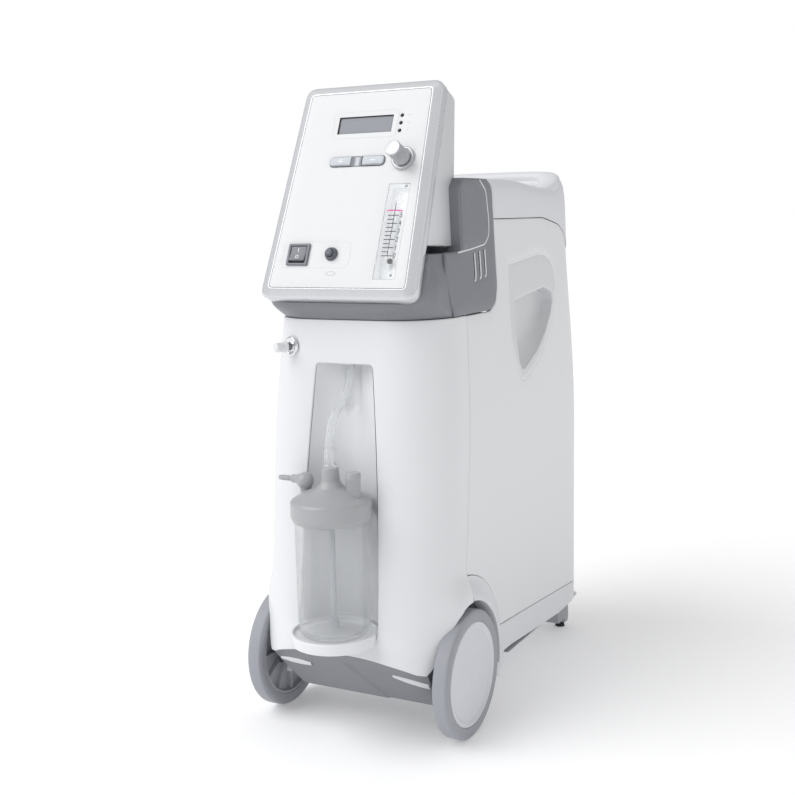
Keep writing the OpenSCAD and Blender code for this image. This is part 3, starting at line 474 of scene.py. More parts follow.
STEEL = finish("steel", (0.60, 0.61, 0.63), 0.24, 1.0, grain=700, bump=0.03, mottle=0.05, edge=0.4)
TYRE = finish("tyre_grey", (0.345, 0.355, 0.39), 0.55, grain=1500, bump=0.08, mottle=0.04)
RIM = finish("rim_grey", (0.43, 0.44, 0.48), 0.42, grain=1500, bump=0.05, mottle=0.03)
HUBCAP = finish("hubcap_pale", (0.66, 0.675, 0.72), 0.30, 0.1, grain=2400, bump=0.03, mottle=0.02,
                flecks=0.1)
FOOT = finish("foot_grey", (0.33, 0.34, 0.37), 0.45, grain=1500, bump=0.06, mottle=0.04, edge=0.8)
RUBBER = finish("rubber_black", (0.022, 0.022, 0.025), 0.75, grain=1200, bump=0.12, mottle=0.1, edge=0.5)
UNDER = finish("underside_grey", (0.225, 0.232, 0.255), 0.48, grain=1600, bump=0.06, mottle=0.03)
CHASSIS = finish("chassis_steel", (0.50, 0.51, 0.53), 0.32, 0.9, grain=500, bump=0.03, mottle=0.08,
                 edge=0.4)
CAST = finish("cast_grey", (0.26, 0.265, 0.28), 0.50, 0.6, grain=420, bump=0.25, mottle=0.08, edge=0.8)
CANISTER = finish("canister", (0.58, 0.59, 0.61), 0.26, 0.85, grain=600, bump=0.03, mottle=0.05, edge=0.8)
BOARD = finish("board_green", (0.02, 0.11, 0.05), 0.40, grain=900, bump=0.08, mottle=0.15, edge=0.3)
FELT = finish("filter_felt", (0.62, 0.61, 0.58), 0.95, grain=700, bump=0.5, mottle=0.08, sheen=0.3)
FAN_BLACK = finish("fan_black", (0.028, 0.028, 0.030), 0.45, grain=1200, bump=0.06, mottle=0.1, edge=0.4)
TANK = finish("tank_white", (0.68, 0.69, 0.70), 0.32, grain=1200, bump=0.04, mottle=0.03, edge=0.8)
BACK_WHITE = finish("rear_white", (0.74, 0.745, 0.76), 0.38, grain=1400, bump=0.04, mottle=0.015, edge=0.9)
FLOOR = finish("floor", (0.95, 0.95, 0.955), 0.65, grain=60, bump=0.01, mottle=0.004, glow=0.17)


# ---- Camera, light and floor ----------------------------------------------------------

def add_camera():
    turn, drop, roll = (math.radians(a) for a in (27.76, 8.58, -1.13))
    ahead = Vector((-math.sin(turn) * math.cos(drop), math.cos(turn) * math.cos(drop), -math.sin(drop)))
    right = Vector((math.cos(turn), math.sin(turn), 0))
    up = right.cross(ahead)
    x = right * math.cos(roll) + up * math.sin(roll)
    y = up * math.cos(roll) - right * math.sin(roll)
    data = bpy.data.cameras.new("camera")
    data.lens = 54.49
    data.sensor_width = 36
    data.dof.use_dof = False
    made = bpy.data.objects.new("camera", data)
    bpy.context.scene.collection.objects.link(made)
    axes = Matrix((x, y, -ahead)).transposed().to_4x4()
    made.matrix_world = Matrix.Translation((0.63235, -1.26159, 0.56022)) @ axes
    bpy.context.scene.camera = made


def add_sun(name, toward, strength, spread):
    data = bpy.data.lights.new(name, "SUN")
    data.energy = strength
    data.angle = math.radians(spread)
    made = bpy.data.objects.new(name, data)
    bpy.context.scene.collection.objects.link(made)
    made.rotation_euler = Vector(toward).to_track_quat("-Z", "Y").to_euler()


def add_studio():
    """Even studio light from the left and above, a white surround and a pale floor."""
    world = bpy.data.worlds.new("studio")
    world.use_nodes = True
    nodes, links = world.node_tree.nodes, world.node_tree.links
    surround = nodes["Background"]
    surround.inputs["Color"].default_value = (1, 1, 1, 1)
    seen = nodes.new("ShaderNodeLightPath")
    level = nodes.new("ShaderNodeMapRange")
    level.inputs["To Min"].default_value = 0.52
    level.inputs["To Max"].default_value = 1.0
    links.new(seen.outputs["Is Camera Ray"], level.inputs["Value"])
    links.new(level.outputs["Result"], surround.inputs["Strength"])
    bpy.context.scene.world = world
    add_sun("key", (0.50, 0.50, -0.70), 1.75, 50)
    add_sun("side_fill", (-0.85, 0.20, -0.5), 0.22, 60)
    bpy.context.scene.view_settings.view_transform = "Standard"
    mesh = bpy.data.meshes.new("floor")
    reach = 60
    mesh.from_pydata([(-reach, -reach, 0), (reach, -reach, 0), (reach, reach, 0), (-reach, reach, 0)], [],
                     [[0, 1, 2, 3]])
    mesh.materials.append(FLOOR)
    floor = bpy.data.objects.new("floor", mesh)
    bpy.context.scene.collection.objects.link(floor)


add_camera()
add_studio()


# ---- Hose, the only free cord: from the nozzle in the niche to the humidifier ---------

HOSE_D = 9.5
HOSE = [(-0.165, 0.406), (-0.165, 0.4035), (-0.1655, 0.399), (-0.1662, 0.3945), (-0.1675, 0.390),
        (-0.169, 0.386), (-0.171, 0.382), (-0.1735, 0.3785), (-0.1765, 0.375), (-0.180, 0.3715),
        (-0.184, 0.3685), (-0.189, 0.3654), (-0.194, 0.3623), (-0.198, 0.3593), (-0.2015, 0.3558),
        (-0.2045, 0.3523), (-0.207, 0.3488), (-0.209, 0.3448), (-0.2105, 0.3408), (-0.2118, 0.3363),
        (-0.2125, 0.3318), (-0.213, 0.3273), (-0.213, 0.3248)]


def add_hose():
    route = [Vector((0, y, z)) / MM for y, z in HOSE]
    length = sum((b - a).length for a, b in zip(route, route[1:]))
    skin = Surface()
    rings = {}
    for radius in (HOSE_D / 2, 3.1):
        rows = []
        for i, p in enumerate(route):
            ahead = (route[min(i + 1, len(route) - 1)] - route[max(i - 1, 0)]).normalized()
            across = Vector((1, 0, 0))
            other = ahead.cross(across)
            rows.append([p + (across * c + other * s) * radius for c, s in circle(1, 24)])
        rings[radius] = rows
        skin.grid(rows, closed=True)
    for end in (0, -1):
        skin.grid([rings[HOSE_D / 2][end], rings[3.1][end]], closed=True)
    hose = skin.piece("clear_hose", CLEAR_HOSE, body=None, slot="hose_clear",
                      stands_for=["humidifier_hose"])
    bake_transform(hose)


add_hose()


# ---- Casings --------------------------------------------------------------------------

def front_at(z):
    return FRONT + 51 + 34 * (z - 100) / 354


def half_w(z):
    return mix(222, 192, ramp((z - 290) / 310)) / 2


FLAT = 51
TURN = FRONT_R * math.pi / 2
SEAM_S = FLAT + TURN + 82 - FRONT_R


def front_place(s, z):
    """A point of the front casing: s runs along it from the middle, round the corner and back."""
    side = -1 if s < 0 else 1
    s = abs(s)
    w, y0 = half_w(z), front_at(z)
    if s <= FLAT:
        x, y, nx = s * (w - FRONT_R) / FLAT, y0, 0
    elif s <= FLAT + TURN:
        a = (s - FLAT) / FRONT_R
        x, y, nx = w - FRONT_R + FRONT_R * math.sin(a), y0 + FRONT_R * (1 - math.cos(a)), math.sin(a)
    else:
        x, y, nx = w, y0 + FRONT_R + s - FLAT - TURN, 1
    away = math.hypot(y - AXLE_Y, z - AXLE_Z)
    x += nx * FLARE * ease((116 - away) / 36) * ease((y + 200) / 50)
    return side * x, y, z


def side_place(u, z):
    """A point of a casing's right side: u is Y, then runs on round the rear corner and the back."""
    w = half_w(z)
    start = BACK - REAR_R
    if u <= start:
        return w, u, z
    a = (u - start) / REAR_R
    if a <= math.pi / 2:
        return w - REAR_R + REAR_R * math.cos(a), start + REAR_R * math.sin(a), z
    return w - REAR_R - (u - start - TURN * REAR_R / FRONT_R), BACK, z


def rear_u(z, x=REAR_X + SEAM):
    return BACK - REAR_R + REAR_R * math.acos(min(1, (x - half_w(z) + REAR_R) / REAR_R))


def base_seam(y):
    return mix(93, 69, (y - AXLE_Y - 82) / (BACK - AXLE_Y - 82))


def seam_y(z):
    return front_at(z) + 82


def fender_point(radius, angle):
    return AXLE_Y + radius * math.cos(angle), AXLE_Z + radius * math.sin(angle)


NICHE_TOP = 408
NICHE_FLOOR = 116
CHANNEL_Y, CHANNEL_Z, CHANNEL_R = JAR_Y + 48, 362, 11.5


def niche_at(z):
    """Middle Y and radius of the niche at height z."""
    t = ramp((z - 280) / 190)
    return mix(JAR_Y, JAR_Y + 26, t), mix(48, 33, t)


def niche_half(z):
    middle, radius = niche_at(z)
    return math.sqrt(radius ** 2 - (front_at(z) - middle) ** 2)


def to_s(x, z):
    return x * FLAT / (half_w(z) - FRONT_R)


ARCH_EDGE = [(101.9, 84, 3), (107, 89, 5), (112.9, 98, 9), (118.2, 114, 14), (125, 128, 14),
             (134.3, 139, 12), (145.2, 145.5, 12), (156, 147.5, 10), (SEAM_S - SEAM / 2, 147.5, 1)]


def front_outline():
    right = [(to_s(x, 95), 100 - 16 * (x / 96) ** 3) for x in range(0, 92, 7)] + ARCH_EDGE
    right.append((SEAM_S - SEAM / 2, WAIST, 1))
    left = [(-p[0], *p[1:]) for p in right[:0:-1]]
    return soften(right + left, 0)


def niche_outline():
    heights = [NICHE_FLOOR + 2, 170, 230, 280, 310, 340, 370, 395]
    right = [(to_s(niche_half(z), z), z, 12) for z in heights]
    top = (to_s(niche_half(NICHE_TOP), NICHE_TOP), NICHE_TOP, 5)
    return soften(right + [top, (-top[0], *top[1:])] + [(-s, z, r) for s, z, r in right[::-1]], 3)


def niche_skin():
    """The inside of the niche, with the hose's groove in its back wall."""
    skin = Surface()
    rows = []
    for t in steps(76):
        z = mix(NICHE_FLOOR, NICHE_TOP, t)
        middle, radius = niche_at(z)
        start = math.acos(max(-1, min(1, (middle - front_at(z) - 1.2) / radius)))
        row = []
        for k in steps(64):
            a = mix(start, 2 * math.pi - start, k)
            x, y = radius * math.sin(a), middle - radius * math.cos(a)
            below = min(0, z - CHANNEL_Z)
            room = CHANNEL_R ** 2 - x * x - below * below
            if room > 0:
                y = max(y, CHANNEL_Y + math.sqrt(room))
            row.append((x, y, z))
        rows.append(row)
    skin.grid(rows)
    for ring in (rows[0], rows[-1]):
        skin.lid(ring)
    return skin


def add_front_casing():
    skin = Surface()
    skin.sheet(front_place, front_outline(), [niche_outline()], gap=5, lip=LIP, depth=9, grid_gap=8)
    skin.piece("front_shell", WHITE, slot="casing_white", stands_for=["front_casing"])
    niche_skin().piece("niche_wall", WHITE, slot="casing_white", sharp=40)
    well = Surface()
    for side in (-1, 1):
        rows = []
        for depth in (1.2, 14):
            row = []
            for s, z in soften([(p[0] - 0.8, p[1] + 0.8, *p[2:]) for p in ARCH_EDGE], 0, closed=False):
                x, y, z = front_place(s, z)
                row.append((side * (x - depth), y + (depth * 0.4 if y < -165 else 0), z))
            rows.append(row)
        well.grid(rows)
    well.piece("front_well_band", WHITE, slot="casing_white")


# Grip pocket: its mouth and its floor, in Y and Z, and the panel inlaid round it
GRIP_MOUTH = [(39, 460), (41, 414, 14), (46, 388, 12), (52, 380), (60, 379), (76, 385, 10),
              (107, 398, 20), (134, 416, 20), (157, 437, 18), (167, 452, 9), (166, 463, 6), (141, 470, 8)]
GRIP_DEPTH = 18
INLAY_EDGE = [(25, 439, 14), (29, 404, 30), (48, 370, 14), (67, 369, 14), (115.7, 391, 30),
              (152, 425, 30), (178, 462, 16), (182.5, 480, 14), (174.5, 497, 14), (160, 506.5, 14),
              (144, 510.8, 24),
              (117, 511, 20), (80, 507.5, 20), (44, 504, 7), (33, 501.5, 7), (29, 494, 7), (26.5, 470, 20)]


def loop_through(points, count):
    """A smooth closed curve through the points."""
    flat = [Vector(p[:2]) for p in points]
    ends = flat[-1:] + flat + flat[:2]
    result = []
    for i in range(len(flat)):
        p0, p1, p2, p3 = ends[i:i + 4]
        for k in range(count):
            t = k / count
            result.append(tuple(0.5 * (2 * p1 + (p2 - p0) * t + (2 * p0 - 5 * p1 + 4 * p2 - p3) * t * t
                                       + (3 * p1 - p0 - 3 * p2 + p3) * t ** 3)))
    return result


def pocket_skin():
    """Walls and floor of the grip pocket, drawn in under the ledge above it."""
    skin = Surface()
    mouth = spaced(soften(GRIP_MOUTH, 6), 3)
    middle = (sum(p[0] for p in mouth) / len(mouth), sum(p[1] for p in mouth) / len(mouth))
    rows = []
    for t in steps(14):
        row = []
        for u, v in mouth:
            low = ease((440 - v) / 55)
            reach = mix(0.93, 0.62, low)
            target = (mix(middle[0], u, reach), mix(middle[1] + 14, v, reach * 0.9))
            bend = t ** mix(3.2, 1.15, low)
            y, z = mix(u, target[0], bend), mix(v, target[1], bend)
            rise = math.sin(t * math.pi / 2) ** mix(0.9, 1.1, low)
            row.append((half_w(z) - 1.2 - rise * (GRIP_DEPTH - 1.4), y, z))
        rows.append(row)
    skin.grid(rows, closed=True)
    skin.lid(rows[-1])
    return skin


# The seam under the top cover, in Y and Z, from the front to the back
COVER_SEAM = soften([(-10, COVER_Z), (150, COVER_Z, 90), (212, 545, 60), (238, 519, 50), (BACK + 1, 504)],
                    60,
                    closed=False, count=8)


def side_outline():
    """Right side casing in (u, z), from the side seam's foot round the fender and on."""
    ring = FENDER_R + SEAM / 2
    top_angle = math.radians(84)
    low_angle = math.radians(11.7)
    arc = [fender_point(ring, mix(top_angle, low_angle, t)) for t in steps(26)]
    first = (seam_y(arc[0][1]) + SEAM / 2, arc[0][1] + 0.6, 1)
    lower = [(u, base_seam(min(u, BACK)) + SEAM / 2) for u in (40, 120, 200, 225, 245)]
    back = [(rear_u(z), z, 0) for z in (72, 160, 260, 300, 340, 380, 420, 460)]
    start = BACK - REAR_R
    top = [(y if y < start else start + REAR_R * math.asin(min(1, (y - start) / REAR_R)), z - SEAM / 2, 0)
           for y, z in COVER_SEAM[:0:-1] if y < 256]
    top = [(rear_u(505), top[0][1] - 1.5, 3)] + top + [(-3.4, COVER_Z - SEAM / 2, 1),
           (-3.4, 486, 14), (-12, 462, 12), (-30, WAIST - SEAM, 12),
           (seam_y(WAIST) + SEAM / 2, WAIST - SEAM, 1)]
    seam_line = [(seam_y(z) + SEAM / 2, z, 0) for z in (400, 300, 220)]
    return soften([first] + [(*p, 0) for p in arc[1:]] + [(*p, 0) for p in lower] + back + top
                  + seam_line, 0)


def add_side_casings():
    inlay = loop_through(INLAY_EDGE, 7)
    shell = Surface().sheet(side_place, side_outline(), [inlay], gap=6, lip=LIP, depth=3, grid_gap=11)
    grip = Surface().sheet(side_place, shrink(inlay, 0.9), [soften(GRIP_MOUTH, 6)],
                           gap=3.5, lip=1.3, depth=2.5, grid_gap=8)
    grip.join(pocket_skin())
    line = Surface()
    for edge, offset, raise_by in ((inlay, 0.5, -0.3),):
        rows = []
        for inset in (-0.9, 1.4):
            ring = spaced(shrink(edge, offset + inset), 4)
            rows.append(ring)
        outer = rows[0]
        inner = [nearest(p, rows[1]) for p in outer]
        place = [[(half_w(v) + raise_by, u, v) for u, v in ring] for ring in (outer, inner)]
        line.grid(place, closed=True)
    for name, side in (("right", 1), ("left", -1)):
        for title, skin, material in (("side_shell", shell, WHITE), ("grip_inlay", grip, INLAY),
                                      ("grip_outline", line, SLOT_WHITE)):
            skin = skin if side > 0 else skin.mirrored()
            skin.piece(f"{name}_{title}", material, slot="casing_white",
                       stands_for=[f"{name}_side_casing"] if title == "side_shell" else ())


def nearest(point, ring):
    return min(ring, key=lambda q: math.dist(point, q))


def shrink(loop, inset):
    """The closed loop moved in by inset."""
    sign = 1 if area_of(loop) > 0 else -1
    result = []
    for i, here in enumerate(loop):
        before, after = Vector(loop[i - 1]), Vector(loop[(i + 1) % len(loop)])
        along = (after - before).normalized()
        result.append((here[0] - sign * along.y * inset, here[1] + sign * along.x * inset))
    return result


# ---- Base pan with the fenders behind the side seam -----------------------------------


def base_outline():
    arc = [fender_point(FENDER_R - 0.2, math.radians(a)) for a in (-7.6, -4, 0, 5, 11.2)]
    start = BACK - REAR_R
    end = start + TURN * REAR_R / FRONT_R + half_w(60) - REAR_R
    low = [(arc[0][0] + 1, 56), (7, 56), (90, 50), (168, 44.5), (213, 45.5), (240, 48), (end, 50)]
    high = [(end, 69 - SEAM / 2)] + [(u, base_seam(min(u, BACK)) - SEAM / 2) for u in (230, 150, 50)]
    right = low[:-1] + [(end, 50)]
    return right, high, arc, end


def wrap_place(end):
    def place(u, z):
        if u <= end:
            return side_place(u, z)
        x, y, z = side_place(2 * end - u, z)
        return -x, y, z
    return place


def add_base_pan():
    low, high, arc, end = base_outline()
    other = [(2 * end - u, z) for u, z in low[-2::-1]]
    outline = low + other + [(2 * end - u, z) for u, z in arc] \
        + [(2 * end - u, z) for u, z in high[:0:-1]] + [high[0]] + high[1:] + arc[:0:-1]
    skin = Surface().sheet(wrap_place(end), outline, gap=6, lip=1.2, depth=5, grid_gap=11)
    half = Surface()
    profile = [(FENDER_R, 0), (102.5, 0.5), (100, 1.4), (96, 3.3), (92, 5.4), (88, 7.4), (84, 9),
               (81.5, 9.9), (80, 9.9), (79.2, 9.4), (ARCH_R, 8.4), (ARCH_R, -8)]
    rows = []
    for radius, rise in profile:
        angle = math.pi / 2
        for _ in range(4):
            y, z = fender_point(radius, angle)
            angle = math.acos((seam_y(z) + SEAM / 2 - AXLE_Y) / radius)
        low_angle = -math.asin(14 / radius)
        rows.append([(half_w(z) + rise, *fender_point(radius, mix(angle, low_angle, t)))
                     for t in steps(48)])
    half.grid(rows)
    edge = Surface()
    for end_of_rows in (0, -1):
        side = [row[end_of_rows] for row in rows]
        edge.grid([side, [(x - 9, y, z) for x, y, z in side]])
    half.join(edge)
    skin.join(half).join(half.mirrored())
    bottom = Surface()
    plan = [(92, -98, 6), (108.5, -45, 4), (109, BACK - REAR_R, 4), (109, BACK - 2, 38),
            (0, BACK - 2, 0)]
    ring = soften(plan + [(-x, y, r) for x, y, r in plan[-2::-1]], 4)
    bottom.sheet(lambda u, v: (u, v, 47.5 if v > 0 else 52), ring, gap=12)
    skin.join(bottom)
    skin.piece("base_shell", COVER_GREY, slot="casing_white", stands_for=["base_pan"])
    # Painted shade: flat dark discs close the wheel wells inside the tyres.
    well = Surface()
    for side in (-1, 1):
        x = side * (TRACK - TYRE_W - 3.4)
        ring = [(x, *fender_point(ARCH_R + 3, math.radians(a))) for a in range(-10, 122, 4)]
        well.lid(ring + [(x, AXLE_Y - 44, 100), (x, AXLE_Y - 36, 60), (x, AXLE_Y, 50)])
    well.piece("wheel_well_shade", PAINTED_SHADE, slot="casing_white")


# ---- Top cover ------------------------------------------------------------------------

HANDLE_Y, HANDLE_Z = BACK - 24, 602
COVER_FRONT = -3.4


def cover_drop(y):
    """Height of the seam under the top cover."""
    line = COVER_SEAM
    for (y0, z0), (y1, z1) in zip(line, line[1:]):
        if y <= y1:
            return mix(z0, z1, (y - y0) / (y1 - y0))
    return line[-1][1]


def cover_ring(inset, count=10):
    """Plan of the top cover moved in by inset, as (x, y), counter-clockwise from the front."""
    w = half_w(COVER_Z) - inset
    y0, y1 = COVER_FRONT + inset, BACK - inset
    outline = [(-w, y0, 4), (w, y0, 4), (w, y1, max(8, REAR_R - inset)), (-w, y1, max(8, REAR_R - inset))]
    return soften(outline, 4, count=count)


def pocket_ring(grow, count=10):
    w, y0, y1 = 70 + grow, 52 - grow, 219 + grow
    return soften([(-w, y0, 12), (w, y0, 12), (w, y1, 10), (-w, y1, 10)], 10, count=count)


def resample(loop, count):
    """count points spread evenly along a closed loop, from its first point."""
    lengths = [math.dist(a, b) for a, b in zip(loop, loop[1:] + loop[:1])]
    total = sum(lengths)
    result, walked, i = [], 0, 0
    for k in range(count):
        want = total * k / count
        while walked + lengths[i] < want:
            walked += lengths[i]
            i += 1
        t = (want - walked) / max(1e-9, lengths[i])
        a, b = loop[i], loop[(i + 1) % len(loop)]
        result.append((mix(a[0], b[0], t), mix(a[1], b[1], t)))
    return result


def cover_top(y):
    """Height of the cover's rim: it falls a little towards the back, then rises to the bar."""
    return 600 - 8 * ease((y - 50) / 125) + 13 * ease((y - 196) / 36)


def add_top_cover():
    count = 240
    skin = Surface()
    rows = []
    for inset, level in ((0, -1.0), (0, 0), (0, 0.25), (0, 0.55), (0.6, 0.72), (2.2, 0.86), (5, 0.95),
                         (9, 0.99), (14, 1.0)):
        row = []
        for x, y in resample(cover_ring(inset), count):
            low = cover_drop(y) + SEAM / 2
            if level < 0:
                row.append((x * 0.97, y, low + 0.6))
                continue
            wide = half_w(mix(low, 600, level)) - half_w(COVER_Z)
            row.append((x + (wide if x > 40 else -wide if x < -40 else 0), y,
                        mix(low, cover_top(y), level)))
        rows.append(row)
    outer = resample(cover_ring(14), count)
    turn = min(range(count), key=lambda k: math.dist(resample(pocket_ring(4), count)[k], outer[0]))
    for grow, z in ((6, 0), (2.4, -0.8), (0.6, -3), (0, -6), (0, -16), (-0.6, -24), (-3, -27.5),
                    (-7, -28.5)):
        ring = resample(pocket_ring(grow), count)
        ring = ring[turn:] + ring[:turn]
        rows.append([(x, y, (cover_top(y) if z > -10 else 600) + z) for x, y in ring])
    skin.grid(rows, closed=True)
    skin.lid(rows[-1])
    skin.piece("top_shell", COVER_GREY, slot="casing_white", stands_for=["top_cover"], sharp=40)
    bar = Surface()
    spine = [Vector(p) for p in ((-84, 150, 583), (-83, 185, 586), (-81, 212, 593), (-74, 229, 600),
                                 (-60, HANDLE_Y, HANDLE_Z), (-30, HANDLE_Y + 0.5, HANDLE_Z + 0.6))]
    spine += [Vector((-p.x, p.y, p.z)) for p in spine[::-1]]
    path = smooth_path(spine, 90)
    rows = []
    for i, p in enumerate(path):
        ahead = (path[min(i + 1, len(path) - 1)] - path[max(i - 1, 0)]).normalized()
        side = ahead.cross(Vector((0, 0, 1))).normalized()
        up = side.cross(ahead)
        full = ease(min(i, len(path) - 1 - i) / 26)
        wide, tall = mix(7, 14.5, full), mix(6, 11.5, full)
        rows.append([p + side * c * wide + up * s * tall for c, s in squircle(28)])
    bar.grid(rows, closed=True)
    bar.lid(rows[0]).lid(rows[-1])
    bar.piece("handle_bar", COVER_GREY, slot="casing_white", sharp=50)


def squircle(count, power=0.72):
    result = []
    for c, s in circle(1, count):
        result.append((math.copysign(abs(c) ** power, c), math.copysign(abs(s) ** power, s)))
    return result


def smooth_path(points, count):
    """A Catmull-Rom curve through the points."""
    ends = [points[0] * 2 - points[1]] + list(points) + [points[-1] * 2 - points[-2]]
    result = []
    for k in range(count + 1):
        t = k / count * (len(points) - 1)
        i = min(int(t), len(points) - 2)
        t -= i
        a, b, c, d = ends[i:i + 4]
        result.append(0.5 * ((2 * b) + (c - a) * t + (2 * a - 5 * b + 4 * c - d) * t * t
                             + (3 * b - a - 3 * c + d) * t ** 3))
    return result


# ---- Grey underside between the front casing and the wheels ---------------------------

CREASE = ((3, 84), (31, 46))


def underside_place(x, t, up=0.0):
    """A point of the sloping underside: t runs from the casing's lip down to its lower edge."""
    reach = abs(x) / 96
    top_y = front_place(math.copysign(to_bend(abs(x)), x), 92)[1] + 2.5
    top_z = 99.5 - 16 * reach ** 3
    y, z = mix(top_y, FRONT + 98, t), mix(top_z, 40, t)
    beyond = x - mix(CREASE[0][0], CREASE[1][0], (CREASE[0][1] - z) / (CREASE[0][1] - CREASE[1][1]))
    fold = 1.2 * ease((beyond + 1) / 2) * ease((94 - z) / 12)
    return x, y - up * 0.8 + fold * 0.8, z - up * 0.6 + fold * 0.6


def to_bend(x):
    """Length along the front casing, from the middle, at distance x from the middle plane."""
    if x <= FLAT:
        return x
    return FLAT + FRONT_R * math.asin(min(0.99, (x - FLAT) / FRONT_R))


def add_underside():
    def across(k, t):
        left, right = mix(-95.5, -72, t ** 0.9), mix(95.5, 95.5, t)
        return mix(left, right, k)

    rows = [[underside_place(across(k, t), t) for k in steps(72)] for t in steps(16)]
    skin = Surface().grid(rows)
    low = rows[-1]
    skin.grid([low, [(x, y + 1.5, z - 1) for x, y, z in low], [(x, y + 40, z + 3) for x, y, z in low]])
    for side in (0, -1):
        edge = [row[side] for row in rows]
        skin.grid([edge, [(x, y + 60, z) for x, y, z in edge]])
    skin.piece("underside_shell", UNDER, slot="casing_grey", stands_for=["front_underside"], sharp=24)
    hooks = Surface()
    for side in (-1, 1):
        line = [(-84, 0.235), (-72, 0.285), (-58, 0.33), (-44, 0.375)] if side < 0 else \
            [(58, 0.30), (70, 0.335), (84, 0.36), (94, 0.375)]
        line = [underside_place(x, t, 0.5) for x, t in line]
        rows = [[], [], [], []]
        for p, half in zip(line, (2.2, 4.6, 5.0, 3.0) if side < 0 else (2.2, 4.4, 5.0, 4.8)):
            for row, (rise, out) in zip(rows,
                                        ((-half, 0), (-half * 0.5, 1.1), (half * 0.5, 1.1), (half, 0))):
                row.append((p[0], p[1] - out * 0.8 - rise * 0.55, p[2] - out * 0.5 + rise * 0.8))
        hooks.grid(rows)
    hooks.piece("underside_hooks", COVER_GREY, slot="casing_white")


add_front_casing()
add_side_casings()
add_base_pan()
add_top_cover()
add_underside()


# ---- Console: cowl, housing, frame and plate ------------------------------------------

COWL_TOP = WAIST + 145
COWL_STEP = WAIST + 67
COWL_BACK = AXLE_Y + 127 - SEAM


def panel(x, s, n=0.0):
    """A point on the console: x across, s up the slope from the frame's lower edge, n out of it."""
    return (x, PANEL_Y + s * math.sin(PANEL_LEAN) - n * math.cos(PANEL_LEAN),
            PANEL_Z + s * math.cos(PANEL_LEAN) + n * math.sin(PANEL_LEAN))


def panel_half(s):
    return mix(184.8, 166.3, s / PANEL_L) / 2


def panel_ring(inset, radius, count=8):
    """The frame's rounded trapezoid moved in by inset, always with the same number of points."""
    low, high = inset, PANEL_L - inset
    outline = [(-panel_half(low) + inset, low), (panel_half(low) - inset, low),
               (panel_half(high) - inset, high), (-panel_half(high) + inset, high)]
    return soften(outline, radius, count=count)


COWL_RINGS = [(0.4, 99.9, -175, 60), (2.5, 100.2, -177.5, 57), (6, 100.4, -181.5, 53),
              (10, 100.4, -185, 47),
              (14, 100.3, -186.8, 41), (18, 100.2, -187.3, 37), (24, 100.1, -186.5, 33),
              (40, 100, -185.6, 31),
              (56, 99.8, -184.6, 30), (64, 99.6, -183.6, 30), (66.4, 98.6, -182.4, 29),
              (67, 96.6, -180.4, 28)]


def cover_seam_line(z):
    """Y of the seam between the cowl and its side covers."""
    line = [(WAIST, -122.3), (473, -130), (501, -137.3), (531, -134.3), (620, -134.3)]
    for (z0, y0), (z1, y1) in zip(line, line[1:]):
        if z <= z1:
            return mix(y0, y1, (z - z0) / (z1 - z0))
    return line[-1][1]


def add_cowl():
    skin = Surface()
    rows = []
    for rise, wide, y0, radius in COWL_RINGS:
        z = WAIST + rise
        w = wide + half_w(z) - half_w(WAIST) if rise > 40 else wide
        end = cover_seam_line(z) - SEAM / 2
        half = []
        for t in steps(10):
            half.append((t * (w - radius), y0, z))
        for t in steps(12)[1:]:
            a = t * math.pi / 2
            half.append((w - radius + radius * math.sin(a), y0 + radius * (1 - math.cos(a)), z))
        for t in steps(6)[1:]:
            half.append((w, mix(y0 + radius, end, t), z))
        half.append((w - 4, end, z))
        rows.append([(-x, y, z) for x, y, z in half[::-1]] + half[1:])
    # The chin tucks in behind the frame: nothing stands in front of the frame's back
    tucked = []
    for row in rows:
        tucked.append([(x, max(y, PANEL_Y + (z - PANEL_Z) * math.tan(PANEL_LEAN) + 13.6
                               if z > PANEL_Z - 2 else y), z) for x, y, z in row])
    skin.grid(tucked)
    top = tucked[-1]
    skin.grid([top, [(x * 0.8, max(y, -120), z) for x, y, z in top]])
    block = [(-108.3, COWL_STEP - 2), (COWL_BACK, COWL_STEP - 2), (COWL_BACK, COWL_TOP - 20),
             (COWL_BACK - 1, COWL_TOP - 12, 12), (COWL_BACK - 14, COWL_TOP, 16), (-97.3, COWL_TOP, 6),
             (-108.3, COWL_TOP - 10, 6)]
    outline = soften(block, 0.5)
    skin.grid([[(x, y, z) for y, z in outline] for x in (-79.7, 79.7)], closed=True)
    skin.piece("cowl_shell", COWL, slot="casing_grey", stands_for=["console_cowl"], sharp=38)


COVER_EDGE = [(-121.4, WAIST + SEAM, 2), (-36, WAIST + SEAM, 4), (-24, 456, 14), (-11, 463, 14),
              (-5, 478, 12),
              (-4.3, 498, 8), (-4.3, 556, 10), (-6, 582, 14), (-10, 593, 8), (-20, 598.6, 8),
              (-40, COWL_TOP, 2),
              (-84, COWL_TOP, 5), (-94.3, 589, 5), (-94.3, 522.5, 4), (-133.7, 521, 1.5), (-137, 501, 6),
              (-129.7, 473, 14)]
TILE_EDGE = [(-43, 597, 4), (-26, 586, 7), (-20.5, 555, 26), (-22, 537, 8), (-34, 528, 8), (-92, 521.5, 3),
             (-92, 590, 4), (-84, 596.5, 4)]


def ribbon(place, line, width, rise, closed=False):
    """A thin raised strip along a line in a surface's coordinates."""
    rows = [[], [], [], []]
    total = len(line)
    for i, here in enumerate(line):
        before = line[i - 1] if closed or i else here
        after = line[(i + 1) % total] if closed or i < total - 1 else here
        along = (Vector(after) - Vector(before)).normalized()
        for row, (offset, up) in zip(rows, ((-0.5, 0), (-0.3, rise), (0.3, rise), (0.5, 0))):
            u = here[0] - along.y * offset * width
            v = here[1] + along.x * offset * width
            row.append(place(u, v, up))
    skin = Surface()
    if closed:
        rows = [row + row[:1] for row in rows]
    return skin.grid(rows)


